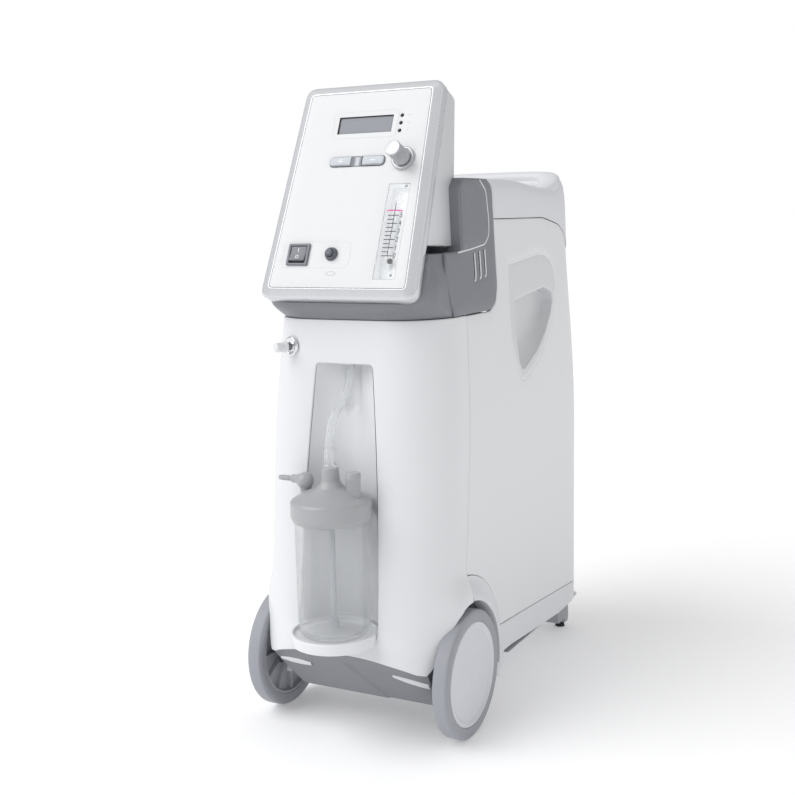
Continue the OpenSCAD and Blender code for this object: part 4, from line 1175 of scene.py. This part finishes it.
def add_cowl_covers():
    def face(y, z, up=0.0):
        return half_w(z) + up, y, z

    slots = []
    for i in range(3):
        y = -63 + 14 * i
        low = 491.5 + 1.6 * i
        slots.append((y, low))
    holes = [soften([(y - 1.1, low - 1.2), (y + 1.1, low - 1.2), (y + 1.1, low + 27), (y - 1.1, low + 27)],
                    1.0)
             for y, low in slots]
    cover = Surface().sheet(face, soften(COVER_EDGE, 4), holes, gap=3.5, lip=1.7, depth=16, grid_gap=9)
    tile = Surface().sheet(lambda y, z: face(y, z, 0.7), soften(TILE_EDGE, 6), gap=3.5, lip=0.7, depth=0.5,
                           grid_gap=9)
    # A strip raised 1 mm along the tile's edge, coloured pale as a painted highlight.
    highlight_line = [(-43, 597.4), (-26, 586), (-20.3, 555), (-21.6, 537), (-34, 527.6), (-70, 523.6),
                  (-107, 520.6)]
    painted_highlight = ribbon(face, soften([(*p, 12) for p in highlight_line], 8, closed=False), 2.0, 1.0)
    hooks = Surface()
    for y, low in slots:
        line = [(y + 0.9, low + 27.5), (y + 0.9, low + 3), (y - 0.6, low - 2.2), (y - 4.2, low - 2.6)]
        hooks.join(ribbon(face, soften([(*p, 2.5) for p in line], 2.5, closed=False), 1.9, 0.6))
    # Painted shade: dark sheets just behind the slots stand in for the shade inside them.
    dark = Surface()
    for y, low in slots:
        dark.grid([[face(y - 2, low - 2, -2.5), face(y + 2, low - 2, -2.5)],
                   [face(y - 2, low + 29, -2.5), face(y + 2, low + 29, -2.5)]])
    for name, side in (("right", 1), ("left", -1)):
        for title, skin, material in (("cover", cover, COWL), ("tile", tile, COWL),
                                      ("painted_highlight", painted_highlight, COWL_HIGHLIGHT),
                                      ("slot_rims", hooks, SLOT_WHITE), ("slot_shade", dark, PAINTED_SHADE)):
            skin = skin if side > 0 else skin.mirrored()
            skin.piece(f"{name}_cowl_{title}", material, slot="casing_grey", sharp=38,
                       stands_for=[f"{name}_cowl_cover"] if title == "cover" else ())


def add_housing():
    """The wedge behind the frame, as a profile in (s, n) carried across with narrow edges."""
    profile = [(66, -12.8), (66, -20), (86.5, -73, 0.6), (81.6, -80.2, 0.6), (238.4, -36.4, 2),
               (240.2, -30, 2), (240.2, -12.8)]
    edge = soften(profile[::-1], 0)
    edge = [p for i, p in enumerate(edge) if i == 0 or math.dist(p, edge[i - 1]) > 0.05]
    lip = 1.4
    rows = []
    for t in steps(4):
        angle = t * math.pi / 2
        inset = lip * (1 - math.sin(angle))
        ring = [(panel_half(s) - 3.2 - lip * (1 - math.cos(angle)), s + (inset if s < 100 else -inset),
                 n + inset)
                for s, n in edge]
        rows.append([panel(x, s, min(n, -12.8)) for x, s, n in ring])
    rows = rows + [[(-x, y, z) for x, y, z in row] for row in rows[::-1]]
    skin = Surface().grid(rows)
    skin.lid(rows[0]).lid(rows[-1])
    skin.piece("housing_shell", HOUSING, slot="casing_white", stands_for=["console_housing"], sharp=35)


def add_frame():
    section = [(4, -12), (1.6, -12), (0.5, -11.4), (0, -10.4), (0, -1.2), (0.2, -0.4), (0.8, 0.4), (3, 1.3),
               (6, 2.5), (9, 3.65), (10, 4), (10.6, 4), (11, 3.5), (11, 1.5), (11, -9)]
    skin = Surface()
    rows = []
    for inset, n in section:
        rows.append([panel(x, s, n) for x, s in panel_ring(inset, max(4.5, 13 - 0.78 * inset))])
    skin.grid(rows, closed=True)
    skin.piece("frame_ring", SILVER, slot="frame_silver", stands_for=["console_frame"], sharp=40)
    # Painted shade: a dark ring in the gap round the plate and a dark sheet behind it.
    gap = Surface()
    rows = [[panel(x, s, n) for x, s in panel_ring(inset, 4.5)] for inset, n in ((10.9, 3.3), (11.6, 3.3))]
    gap.grid(rows, closed=True)
    back = [panel(x, s, -12.2) for x, s in panel_ring(3, 11)]
    gap.lid(back)
    gap.piece("frame_shadow_gap", PAINTED_SHADE, slot="frame_silver")


LCD = (0.3, 194.3, 65, 19.3)
LIGHTS = [(42.9, 202.6), (42.9, 194), (42.9, 185.3)]
KEYS = (-1, 152)
KNOB_AT = (53.5, 153)
METER = (54.8, 73, 24.5, 104)
SWITCH_AT = (-51, 47.4)
SWITCH_SIZE = (25.8, 24)
BREAKER_AT = (-11, 48)


def box_at(place, grow=0.0, radius=0.8):
    x, s, w, h = place
    return pill(w + 2 * grow, h + 2 * grow, radius, (x, s))


def raised(outline, low, high, lip=0.4, gap=2.5, holes=(), crown=0.0, crown_at=None):
    """A plate on the console over a 2-D outline, with rolled edges; it may be crowned."""
    def place(u, v):
        rise = 0
        if crown and crown_at:
            cx, cy, rx, ry = crown_at
            rise = crown * max(0, 1 - ((u - cx) / rx) ** 2) * max(0, 1 - ((v - cy) / ry) ** 2)
        return panel(u, v, high + rise)
    return Surface().sheet(place, outline, holes, gap=gap, lip=lip, depth=high - low - lip,
                           grid_gap=max(gap, 2.2))


def add_plate():
    outline = panel_ring(BORDER + 0.35, 4.2, count=5)
    keys = pill(2 * 27 + 12 + 0.8, 11 + 0.8, 5.9, KEYS, count=8)
    holes = [box_at(LCD, 0.1, 0.5), keys,
             circle(12.2, 40, KNOB_AT), box_at(METER, 0.2, 0.8), circle(5.4, 24, BREAKER_AT),
             box_at((*SWITCH_AT, SWITCH_SIZE[0] - 3, SWITCH_SIZE[1] - 3), 0, 0.5)]
    holes += [circle(2.05, 16, at) for at in LIGHTS]
    skin = Surface().sheet(lambda u, v: panel(u, v, FACE), outline, holes, gap=3, lip=0.25, depth=2.2,
                           grid_gap=14)
    skin.piece("plate_face", PLATE, slot="panel_white", stands_for=["panel_plate"])

    def on_plate(u, v, up=0.0):
        return panel(u, v, FACE + 0.04 + up)

    marks = Surface()
    marks.join(ribbon(on_plate, pill(77, 30.5, 5, (0.3, 194.3)), 0.55, 0.05, closed=True))
    line = [(-70.5, 33, 5), (11, 33, 7), (11, 62, 7), (-70.5, 62, 5)]
    marks.join(ribbon(on_plate, soften(line, 5), 0.5, 0.05, closed=True))
    marks.piece("plate_borders", PRINT_PALE, slot="panel_white")
    signs = Surface()
    for y in (202.6, 194, 185.3):
        signs.join(ribbon(on_plate, [(50.5, y), (53.5, y)], 0.5, 0.05))
    signs.join(ribbon(on_plate, pill(8.6, 4.2, 2.1, (-8, 26.8)), 0.55, 0.05, closed=True))
    for side in (-1, 1):
        signs.join(ribbon(on_plate, [(-8 + side * 4.6, 26.8), (-8 + side * 6.6, 26.8)], 0.9, 0.05))
    for turn in (-140, -45, 50, 120):
        a = math.radians(90 - turn)
        tick = [(KNOB_AT[0] + r * math.cos(a), KNOB_AT[1] + r * math.sin(a)) for r in (14.6, 16.4)]
        signs.join(ribbon(on_plate, tick, 0.6, 0.05))
    signs.piece("plate_signs", PRINT, slot="panel_white")


def add_display():
    well = Surface()
    rim = box_at(LCD, 0.05, 0.5)
    well.grid([[panel(u, v, n) for u, v in rim] for n in (FACE - 0.1, FACE - 1.9)], closed=True)
    well.piece("display_well", LIGHT_BLACK, slot="display_grey")
    glass = Surface().sheet(lambda u, v: panel(u, v, FACE - 1.8), box_at(LCD, 0.0, 0.5), gap=3, grid_gap=8)
    glass.piece("display_glass", DISPLAY, slot="display_grey", stands_for=["display_window"])
    lights = Surface()
    for at in LIGHTS:
        profile = [(2.0, -2), (2.0, 0.1), (1.7, 0.5), (1.1, 0.85), (0.4, 1.0), (0.02, 1.02)]
        lights.lathe(profile, lambda a, b, n, at=at: panel(at[0] + a, at[1] + b, FACE + n), 20)
    lights.piece("light_domes", LIGHT_BLACK, slot="light_black", stands_for=["indicator_lights"])


def add_keys():
    x, s = KEYS
    for side, node in ((1, "minus_key"), (-1, "plus_key")):
        body_of = next(b for b, nodes in frame["record"]["behaviour"]["bodies"].items() if node in nodes)
        outline = soften([(x + side * 6.4, s - 5.5, 0.6), (x + side * 33, s - 5.5, 5.4),
                          (x + side * 33, s + 5.5, 5.4), (x + side * 6.4, s + 5.5, 0.6)], 1, count=8)
        key = raised(outline, FACE - 1.5, FACE + 1.7, lip=0.9, gap=1.6, crown=0.5,
                     crown_at=(x + side * 19, s, 15, 5.5))
        key.piece(f"{node}_top", KEY, body=body_of, slot="key_silver", stands_for=[node])

        def on_key(u, v, up=0.0):
            bulge = 0.5 * max(0, 1 - ((u - x - side * 19) / 15) ** 2) * max(0, 1 - ((v - s) / 5.5) ** 2)
            return panel(u, v, FACE + 1.72 + bulge + up)

        centre = x + side * 19.5
        sign = ribbon(on_key, [(centre + d, s) for d in (-3.4, -1.7, 0, 1.7, 3.4)], 0.9, 0.08)
        if side < 0:
            sign.join(ribbon(on_key, [(centre, s + d) for d in (-3.2, -1.6, 0, 1.6, 3.2)], 0.9, 0.08))
        sign.piece(f"{node}_sign", MARK_WHITE, body=body_of, slot="key_silver")
    saddle = Surface()
    rows = []
    for t in steps(20):
        u = mix(-6.1, 6.1, t)
        dip = 1.7 * (1 - (u / 6.1) ** 2)
        rows.append([panel(x + u, s + v, n) for v, n in
                     ((-5.5, FACE - 1), (-5.5, FACE + 1.2 - dip), (-4.8, FACE + 1.75 - dip),
                      (0, FACE + 1.9 - dip),
                      (4.8, FACE + 1.75 - dip), (5.5, FACE + 1.2 - dip), (5.5, FACE - 1))])
    saddle.grid(rows)
    saddle.piece("saddle_dish", KEY, slot="key_silver", stands_for=["key_saddle"])


def add_knob():
    x, s = KNOB_AT

    def place(a, b, n):
        return panel(x + a, s + b, FACE + n)

    collar = Surface().lathe([(12.1, -6), (12.6, -0.2), (13, 0), (13, 2.1), (12.5, 2.8), (11.6, 3.1),
                              (10.2, 3.0),
                              (9.7, 2.6), (9.6, 1.4), (9.0, 1.4)], place, 72)
    collar.piece("collar_ring", KNOB, slot="knob_silver", stands_for=["knob_collar"], sharp=40)
    knob = Surface()
    rows = []
    flutes = 44
    for r, n, depth in ((9.0, 1.6, 0), (9.0, 4.5, 0), (8.9, 5.2, 0), (8.75, 5.8, 0.2), (8.6, 14, 0.22),
                        (8.45, 23.0, 0.22), (8.6, 23.6, 0), (8.6, 25.7, 0), (8.5, 26.2, 0), (8.2, 26.6, 0),
                        (7.7, 26.75, 0), (7.3, 26.6, 0), (0.05, 26.6, 0)):
        row = []
        for i in range(flutes * 4):
            a = 2 * math.pi * i / (flutes * 4)
            radius = r - depth * (1 - math.cos(flutes * a))
            row.append(place(radius * math.cos(a), radius * math.sin(a), n))
        rows.append(row)
    knob.grid(rows, closed=True)
    knob.piece("knob_grip", KNOB, body="knob", slot="knob_silver", stands_for=["flow_knob"], sharp=50)


def digit(text, at, size, name):
    """A printed digit as a mesh on the flowmeter's face."""
    curve = bpy.data.curves.new(name, "FONT")
    curve.body = text
    curve.size = size
    curve.align_x = "CENTER"
    curve.align_y = "CENTER"
    source = bpy.data.objects.new(name, curve)
    bpy.context.scene.collection.objects.link(source)
    bpy.context.view_layer.update()
    flat = bpy.data.meshes.new_from_object(source.evaluated_get(bpy.context.evaluated_depsgraph_get()))
    result = Surface()
    result.add([panel(at[0] + v.co.x, at[1] + v.co.y, at[2]) for v in flat.vertices],
               [list(p.vertices) for p in flat.polygons])
    bpy.data.objects.remove(source)
    bpy.data.curves.remove(curve)
    bpy.data.meshes.remove(flat)
    return result


def add_flowmeter():
    x, s, w, h = METER
    top, floor = FACE + 1.5, -11.5
    rim = pill(w, h, 1.2, (x, s))
    block = Surface().sheet(lambda u, v: panel(u, v, top), rim, gap=3, lip=0.9, depth=top - floor - 0.9,
                            grid_gap=10)
    block.lid([panel(u, v, floor) for u, v in rim])
    block.piece("meter_block", CLEAR, slot="meter_clear", stands_for=["flowmeter_block"], sharp=40)
    # The liner and back inside the flowmeter block use the glowing liner material: painted light in the cavity.
    back = Surface().sheet(lambda u, v: panel(u, v, -7.9), pill(w - 0.6, h - 0.6, 1, (x, s)), gap=5)
    liner = pill(w - 0.5, h - 0.5, 1, (x, s))
    back.grid([[panel(u, v, n) for u, v in liner] for n in (FACE - 0.4, -7.9)], closed=True)
    back.piece("meter_back", METER_LINER_GLOW, slot="meter_clear")
    low, high = 39.3, 101

    def tube_place(a, b, n):
        return panel(x + a, n, -3 + b)

    tube = Surface()
    for radius in (4.6, 3.4):
        tube.lathe([(radius, low - 6), (radius, high)], tube_place, 24)
    tube.lathe([(4.6, high), (5.2, high + 1), (5.2, high + 7), (3.4, high + 8), (3.4, high + 16),
                (0.05, high + 16)],
               tube_place, 24)
    tube.lathe([(0.05, low - 16), (6.2, low - 16), (6.2, low - 8), (4.6, low - 6)], tube_place, 24)
    tube.piece("meter_tube", METER_TUBE, slot="meter_clear", sharp=40)
    ball = Surface()
    rows = []
    for t in steps(14):
        a = math.pi * t
        rows.append((3 * math.sin(a) + 0.001, 42.7 - 3 * math.cos(a)))
    ball.lathe(rows, tube_place, 28)
    ball.piece("float_ball", LIGHT_BLACK, body="float", slot="float_black", stands_for=["flow_float"])

    def on_face(u, v, up=0.0):
        return panel(u, v, top + 0.03 + up)

    marks = Surface()
    first, last = 45.5, 89.5
    for i in range(11):
        v = mix(first, last, i / 10)
        reach = 6.2 if i % 2 == 0 else 3.8
        marks.join(ribbon(on_face, [(x - 6.5, v), (x - 6.5 + 2 * reach, v)], 0.95, 0.03))
    marks.join(ribbon(on_face, [(x + 0.6, first), (x + 0.6, last + 14)], 0.7, 0.03))
    for number in range(6):
        at = (x + 8.8, mix(first, last, number / 5), top + 0.05)
        marks.join(digit(str(number), at, 7.6, f"digit_{number}"))
    marks.piece("meter_scale", BLACK_MARK, slot="meter_clear", merge=0.001)
    line = [(x - 8.8, 94.2), (x - 6, 95), (x, 95.1), (x + 6, 94.6), (x + 10, 94)]
    ribbon(on_face, line, 1.3, 0.04).piece("meter_limit_line", MAGENTA, slot="meter_clear")
    screws = Surface()
    for v in (24.5, 121.5):
        screws.lathe([(1.5, 0), (1.5, 0.5), (1.1, 0.8), (0.02, 0.8)],
                     lambda a, b, n, v=v: panel(x + 8.6 + a, v + b, top + n), 16)
    screws.piece("meter_screws", DARK_METAL, slot="meter_clear")


def add_switch():
    x, s = SWITCH_AT
    w, h = SWITCH_SIZE
    opening = pill(w - 6.2, h - 5.2, 0.5, (x, s))
    bezel = raised(pill(w, h, 0.9, (x, s)), FACE - 0.5, FACE + 2.3, lip=0.8, gap=2, holes=[opening])
    rows = [[panel(u, v, n) for u, v in opening] for n in (FACE + 1.6, FACE - 9)]
    bezel.grid(rows, closed=True)
    bezel.piece("bezel_ring", SWITCH, slot="switch_grey", stands_for=["switch_bezel"])
    rocker = Surface()
    lean = math.radians(-9)
    half = (w - 7) / 2
    reach = (h - 7) / 2
    section = [(-reach + 0.9, 0.5), (-reach + 0.4, 5.2), (-reach + 0.6, 5.9), (-reach + 1.2, 6.1),
               (-reach + 3.5, 5.55),
               (0, 4.7), (reach - 3.5, 5.55), (reach - 1.2, 6.1), (reach - 0.6, 5.9), (reach - 0.4, 5.2),
               (reach - 0.9, 0.5)]

    def turned(u, v, n):
        return panel(x + u, s + v * math.cos(lean) - n * math.sin(lean),
                     FACE - 3 + v * math.sin(lean) + n * math.cos(lean))

    rows = []
    for u, drop in ((-half, 0.9), (-half + 0.25, 0.3), (-half + 0.9, 0), (half - 0.9, 0),
                    (half - 0.25, 0.3), (half, 0.9)):
        rows.append([turned(u, v * (1 - drop * 0.03), n - (drop * 0.5 if n > 1 else 0)) for v,
                     n in section])
    rocker.grid(rows)
    rocker.lid(rows[0]).lid(rows[-1])
    rocker.piece("rocker_cap", SWITCH, body="rocker", slot="switch_grey", stands_for=["power_rocker"],
                 sharp=45)

    def on_rocker(u, v, up=0.0):
        n = 4.75 + 0.85 * abs(v / (reach - 3.5)) if abs(v) < reach - 3.5 else 5.6 + 0.22 * (abs(v) - reach + 3.5)
        return turned(u, v, n + 0.1 + up)

    sign = ribbon(on_rocker, [(0, 2.0), (0, 3.8), (0, 5.8)], 0.9, 0.06)
    sign.join(ribbon(on_rocker, circle(1.7, 20, (0, -3.9)), 0.8, 0.06, closed=True))
    sign.piece("rocker_signs", MARK_WHITE, body="rocker", slot="switch_grey")


def add_breaker():
    x, s = BREAKER_AT

    def place(a, b, n):
        return panel(x + a, s + b, FACE + n)

    body = Surface().lathe([(5.2, -3), (7.3, -0.1), (7.3, 0.9), (7.0, 1.5), (6.6, 2.8), (6.1, 3.8),
                            (5.4, 4.1),
                            (4.6, 4.0), (4.3, 3.6), (4.3, 0)], place, 48)
    body.piece("breaker_collar", SWITCH_DARK, slot="breaker_grey", stands_for=["breaker_body"], sharp=50)
    button = Surface().lathe([(3.95, -1), (3.95, 6.0), (3.6, 6.7), (2.9, 7.0), (1.2, 6.85), (0.02, 6.8)],
                             place, 40)
    button.piece("breaker_push", SWITCH_DARK, body="button", slot="breaker_grey",
                 stands_for=["breaker_button"],
                 sharp=50)


add_cowl()
add_cowl_covers()
add_housing()
add_frame()
add_plate()
add_display()
add_keys()
add_knob()
add_flowmeter()
add_switch()
add_breaker()


# ---- Nebuliser outlet and hose fittings -----------------------------------------------

def outlet_frame():
    """Middle, outward direction and two cross directions of the outlet on the corner."""
    z = 424
    turn = math.radians(21)
    x = -(half_w(z) - FRONT_R) - FRONT_R * math.sin(turn)
    y = front_at(z) + FRONT_R * (1 - math.cos(turn))
    out = Vector((-math.sin(turn), -math.cos(turn), 0))
    return Vector((x, y, z)), out, Vector((math.cos(turn), -math.sin(turn), 0)), Vector((0, 0, 1))


def add_outlet():
    base, out, across, up = outlet_frame()

    def place(a, b, n):
        return base + across * a + up * b + out * n

    plate = Surface().lathe([(10.6, 0.2), (10.6, 2.2), (10.2, 3.0), (9.2, 3.5), (8.2, 3.3), (7.4, 2.7),
                             (5.2, 2.6),
                             (5.0, 3.4), (4.3, 3.6), (4.05, 3.2), (4.05, 1)], place, 64)
    plate.piece("outlet_disc", CHROME, slot="bright_metal", stands_for=["nebuliser_plate"], sharp=50)
    stem = Surface().lathe([(3.95, -10), (3.95, 5.5), (3.5, 6.2), (3.0, 6.6), (3.0, 8.2), (3.0, 15.6),
                            (2.4, 16),
                            (1.6, 16), (1.6, 9), (0.02, 9)], place, 40)
    stem.piece("outlet_stem", DARK_METAL, slot="dark_metal", stands_for=["nebuliser_nozzle"], sharp=50)
    cap = Surface()
    rows = []
    for r, n, depth in ((3.1, 8.7, 0), (5.6, 8.5, 0), (6, 8.9, 0), (6, 10.6, 0), (5.7, 11.2, 0),
                        (5.2, 11.6, 0),
                        (5.15, 12.4, 0.18), (5.05, 20.6, 0.18), (4.9, 21.6, 0), (4.4, 22.5, 0),
                        (3.4, 22.95, 0),
                        (0.05, 23, 0)):
        row = []
        for i in range(96):
            a = 2 * math.pi * i / 96
            radius = r - depth * (1 - math.cos(16 * a))
            row.append(place(radius * math.cos(a), radius * math.sin(a), n))
        rows.append(row)
    cap.grid(rows, closed=True)
    cap.piece("outlet_plug", CAP, body="outlet_cap", slot="cap_pale", stands_for=["nebuliser_cap"],
              sharp=50)
    nozzle = Surface().lathe([(6.2, 2), (6.2, 1.2), (5, 0.6), (5, 0.05), (2.2, 0.05), (2.2, 12)],
                             lambda a, b, n: (a, CHANNEL_Y + b, 406 + n), 36)
    nozzle.piece("niche_nozzle", CAP, slot="cap_pale", stands_for=["hose_nozzle"])


# ---- Humidifier -----------------------------------------------------------------------

LID_Z = corners("humidifier_lid")[0].z + 4
RING_TOP = LID_Z + 17.5
BOSS_Z = RING_TOP + 35


def at_jar(a, b, z):
    return a, JAR_Y + b, z


def add_humidifier():
    profile = soften([(0.05, RING_TOP - 4), (35, RING_TOP - 4), (39.4, RING_TOP - 6),
                      (39.4, LID_Z - 3.4, 0.6),
                      (40.6, LID_Z - 3.8, 0.6), (42, LID_Z, 1), (42.8, LID_Z + 1.5, 1),
                      (42.8, RING_TOP - 1, 1.6),
                      (41, RING_TOP + 1.2, 2), (29, RING_TOP + 8.6, 7), (15, RING_TOP + 13.5, 8),
                      (9.9, RING_TOP + 20, 5), (8.8, BOSS_Z - 1.2, 1), (7.9, BOSS_Z - 0.2, 0.6),
                      (0.05, BOSS_Z - 0.1)], 1, closed=False, count=5)
    lid = Surface().lathe(profile, at_jar, 120)
    lid.piece("lid_dome", LID, body="humidifier", slot="lid_grey", stands_for=["humidifier_lid"], sharp=48)
    x0, z0 = -31, RING_TOP + 18
    elbow = Surface()
    elbow.lathe([(5.6, RING_TOP + 6), (5.6, RING_TOP + 10), (6.3, RING_TOP + 10.4), (6.3, RING_TOP + 11.4)],
                lambda a, b, z: at_jar(x0 + a, b, z), 40)
    elbow.lathe([(9.2 * math.sin(math.pi * t) + 0.01, -9.2 * math.cos(math.pi * t)) for t in steps(18)],
                lambda a, b, z: at_jar(x0 + a, b, z0 + z), 40)
    elbow.lathe([(5.6, 6), (5.4, 8.6), (4.6, 9.6), (4.4, 10.4), (4.4, 15), (3.9, 15.8), (2.7, 16.2),
                 (2.7, 19),
                 (3.0, 19.4), (2.6, 22.4), (3.0, 22.8), (2.6, 25.8), (3.0, 26.2), (2.5, 31.4), (1.9, 32),
                 (1.4, 32),
                 (1.4, 24), (0.02, 24)],
                lambda a, b, z: at_jar(x0 - z, a, z0 + 1 + b), 36)
    elbow.piece("elbow_body", LID, body="humidifier", slot="lid_grey", stands_for=["humidifier_elbow"],
                sharp=48)
    base = RING_TOP + 9.5
    relief = Surface().lathe([(7.6, base - 4), (7.6, base + 13.6), (7.9, base + 14.2), (8.1, base + 15),
                              (8.0, base + 20.6), (7.3, base + 21.7), (6.2, base + 22), (3.2, base + 21.6),
                              (0.02, base + 21.6)], lambda a, b, z: at_jar(27 + a, b, z), 48)
    relief.piece("relief_body", LID, body="humidifier", slot="lid_grey", stands_for=["relief_cap"],
                 sharp=48)
    connector = Surface().lathe([(3.3, BOSS_Z), (7.2, BOSS_Z), (7.2, BOSS_Z + 2), (6.6, BOSS_Z + 3),
                                 (6.2, BOSS_Z + 10), (6.5, BOSS_Z + 11), (6.0, BOSS_Z + 18.4),
                                 (5.5, BOSS_Z + 19.9),
                                 (3.3, BOSS_Z + 19.9), (3.3, BOSS_Z)], at_jar, 40)
    connector.piece("hose_socket", CLEAR_HOSE, body="humidifier", slot="hose_clear",
                    stands_for=["hose_connector"],
                    sharp=48)
    floor = corners("humidifier_jar")[0].z
    top = corners("humidifier_jar")[1].z
    outer = soften([(0.05, floor + 2.4), (24, floor + 2), (28, floor, 3), (33.5, floor + 0.6, 3),
                    (37.9, floor + 5, 5),
                    (37.9, floor + 12, 3), (39, top - 20, 3), (39, top)], 2, closed=False, count=5)
    inner = soften([(37, top), (37, top - 20), (36, floor + 12, 3), (35.9, floor + 8, 5),
                    (31, floor + 3.6, 4),
                    (26, floor + 4.4), (0.05, floor + 4.4)], 2, closed=False, count=5)
    jar = Surface().lathe(outer + inner, at_jar, 120)
    for z in (floor + 100, floor + 60, floor + 20):
        for lift in (0, 12, 24):
            if z + lift > floor + 112:
                continue
            y = JAR_Y - mix(37.9, 39, (z + lift - floor) / 126) - 0.05
            wide = 9 if lift == 0 else 5
            jar.grid([[(x, y + x * x / 78, z + lift + dz) for x in (-wide, -wide / 2, 0, wide / 2, wide)]
                      for dz in (-0.3, 0.3)])
    jar.piece("jar_glass", CLEAR_JAR, body="jar", slot="jar_clear", stands_for=["humidifier_jar"], sharp=50)
    rim = corners("jar_tray")[1].z
    tray = Surface().lathe(soften([(45.6, rim - 12.2), (46.4, rim - 8), (47, rim - 2, 1.5),
                                   (46.6, rim, 1.4), (43.6, rim, 1.2),
                                   (42.9, rim - 3.4, 1), (0.05, rim - 3.5)], 1, closed=False, count=5),
                                   at_jar, 120)
    tray.piece("tray_dish", TRAY, slot="casing_white", stands_for=["jar_tray"], sharp=48)


# ---- Wheels ---------------------------------------------------------------------------

def add_wheels():
    inner = TRACK - TYRE_W
    for name, side in (("left", -1), ("right", 1)):
        def place(a, b, out, side=side):
            return side * (inner + out), AXLE_Y + a, AXLE_Z + b

        body = f"{name}_wheel"
        tread = soften([(57.2, 0.9, 0.5), (60, 0.5, 1), (65, 0.1, 2), (WHEEL_R - 0.2, 1.4, 4.5),
                        (WHEEL_R, 9, 6),
                        (WHEEL_R - 0.2, 16.6, 4.5), (65, 17.9, 2), (60, 17.5, 1), (57.2, 17.1, 0.5)], 3,
                        count=6)
        tyre = Surface().lathe(tread + tread[:1], place, 144)
        tyre.piece(f"{name}_tread", TYRE, body=body, slot="tyre_grey", stands_for=[f"{name}_tyre"],
                   sharp=50)
        rim = Surface().lathe(soften([(57.1, 13), (57.1, 1.5, 0.6), (54.5, 1.5, 0.6), (54, 9, 3),
                                      (12, 9.4, 2), (11, 1.2, 1),
                                      (6.3, 1.2, 0.5), (6.3, 12), (57.1, 12)], 0.5, closed=False), place,
                                      96)
        for i in range(12):
            a = 2 * math.pi * i / 12
            c, s = math.cos(a), math.sin(a)
            rib = []
            for out, half in ((10, 1.3), (4.6, 1.0), (4.0, 0.6), (4.0, -0.6), (4.6, -1.0), (10, -1.3)):
                rib.append([place(r * c - half * s, r * s + half * c, out) for r in (10.5, 32, 54.6)])
            rim.grid(rib)
        rim.piece(f"{name}_rim_ribs", RIM, body=body, slot="rim_grey", stands_for=[f"{name}_wheel_rim"],
                  sharp=40)
        cap = soften([(53, 12.05), (57.1, 12.05, 0.3), (57.1, 16.4, 0.8), (56.2, 17.5, 0.8),
                      (54.2, 17.7, 0.8), (52.6, 16.9, 0.8),
                      (50.9, 15.9, 0.7), (49.8, 15.4, 0.6), (30, 16.4, 10), (21.2, 16.7, 0.3),
                      (20.6, 16.45, 0.3), (20, 16.7, 0.3),
                      (8, 17.4, 6), (0.05, 17.5)], 1, closed=False, count=5)
        hub = Surface().lathe(cap, place, 144)
        hub.piece(f"{name}_cap_face", HUBCAP, body=body, slot="hubcap_pale", stands_for=[f"{name}_hubcap"],
                  sharp=50)
    for name, side in (("left", -1), ("right", 1)):
        bracket = Surface().sheet(lambda u, v, side=side: (side * 108.5, u, v),
                                  soften([(-30, 60, 2), (-33, 30, 2), (-27, 28, 2), (-9, 56, 3),
                                          (-8, 60, 2)], 2),
                                  gap=3, lip=0.6, depth=2)
        bracket.piece(f"{name}_stop_bracket", COVER_GREY, slot="casing_white")


# ---- CAD nodes that stay in view, with their own finishes ------------------------------

SHOWN = {
    "rear_panel": BACK_WHITE, "filter_cover": BACK_WHITE, "power_inlet": FAN_BLACK, "rear_feet": FOOT,
    "foot_pads": RUBBER, "axle": STEEL, "axle_carriers": BACK_WHITE, "chassis_plate": CHASSIS,
    "compressor": CAST, "compressor_mounts": RUBBER, "sieve_beds": CANISTER, "valve_block": CHASSIS,
    "product_tank": TANK, "fan_frame": FAN_BLACK, "fan_rotor": FAN_BLACK, "circuit_board": BOARD,
    "intake_filter": FELT, "dip_tube": TUBE,
}


def dress_nodes():
    for name, material in SHOWN.items():
        mesh = frame["nodes"][name].data
        if not mesh.materials:
            mesh.materials.append(material)
        for i in range(len(mesh.materials)):
            mesh.materials[i] = material


add_outlet()
add_humidifier()
add_wheels()
dress_nodes()
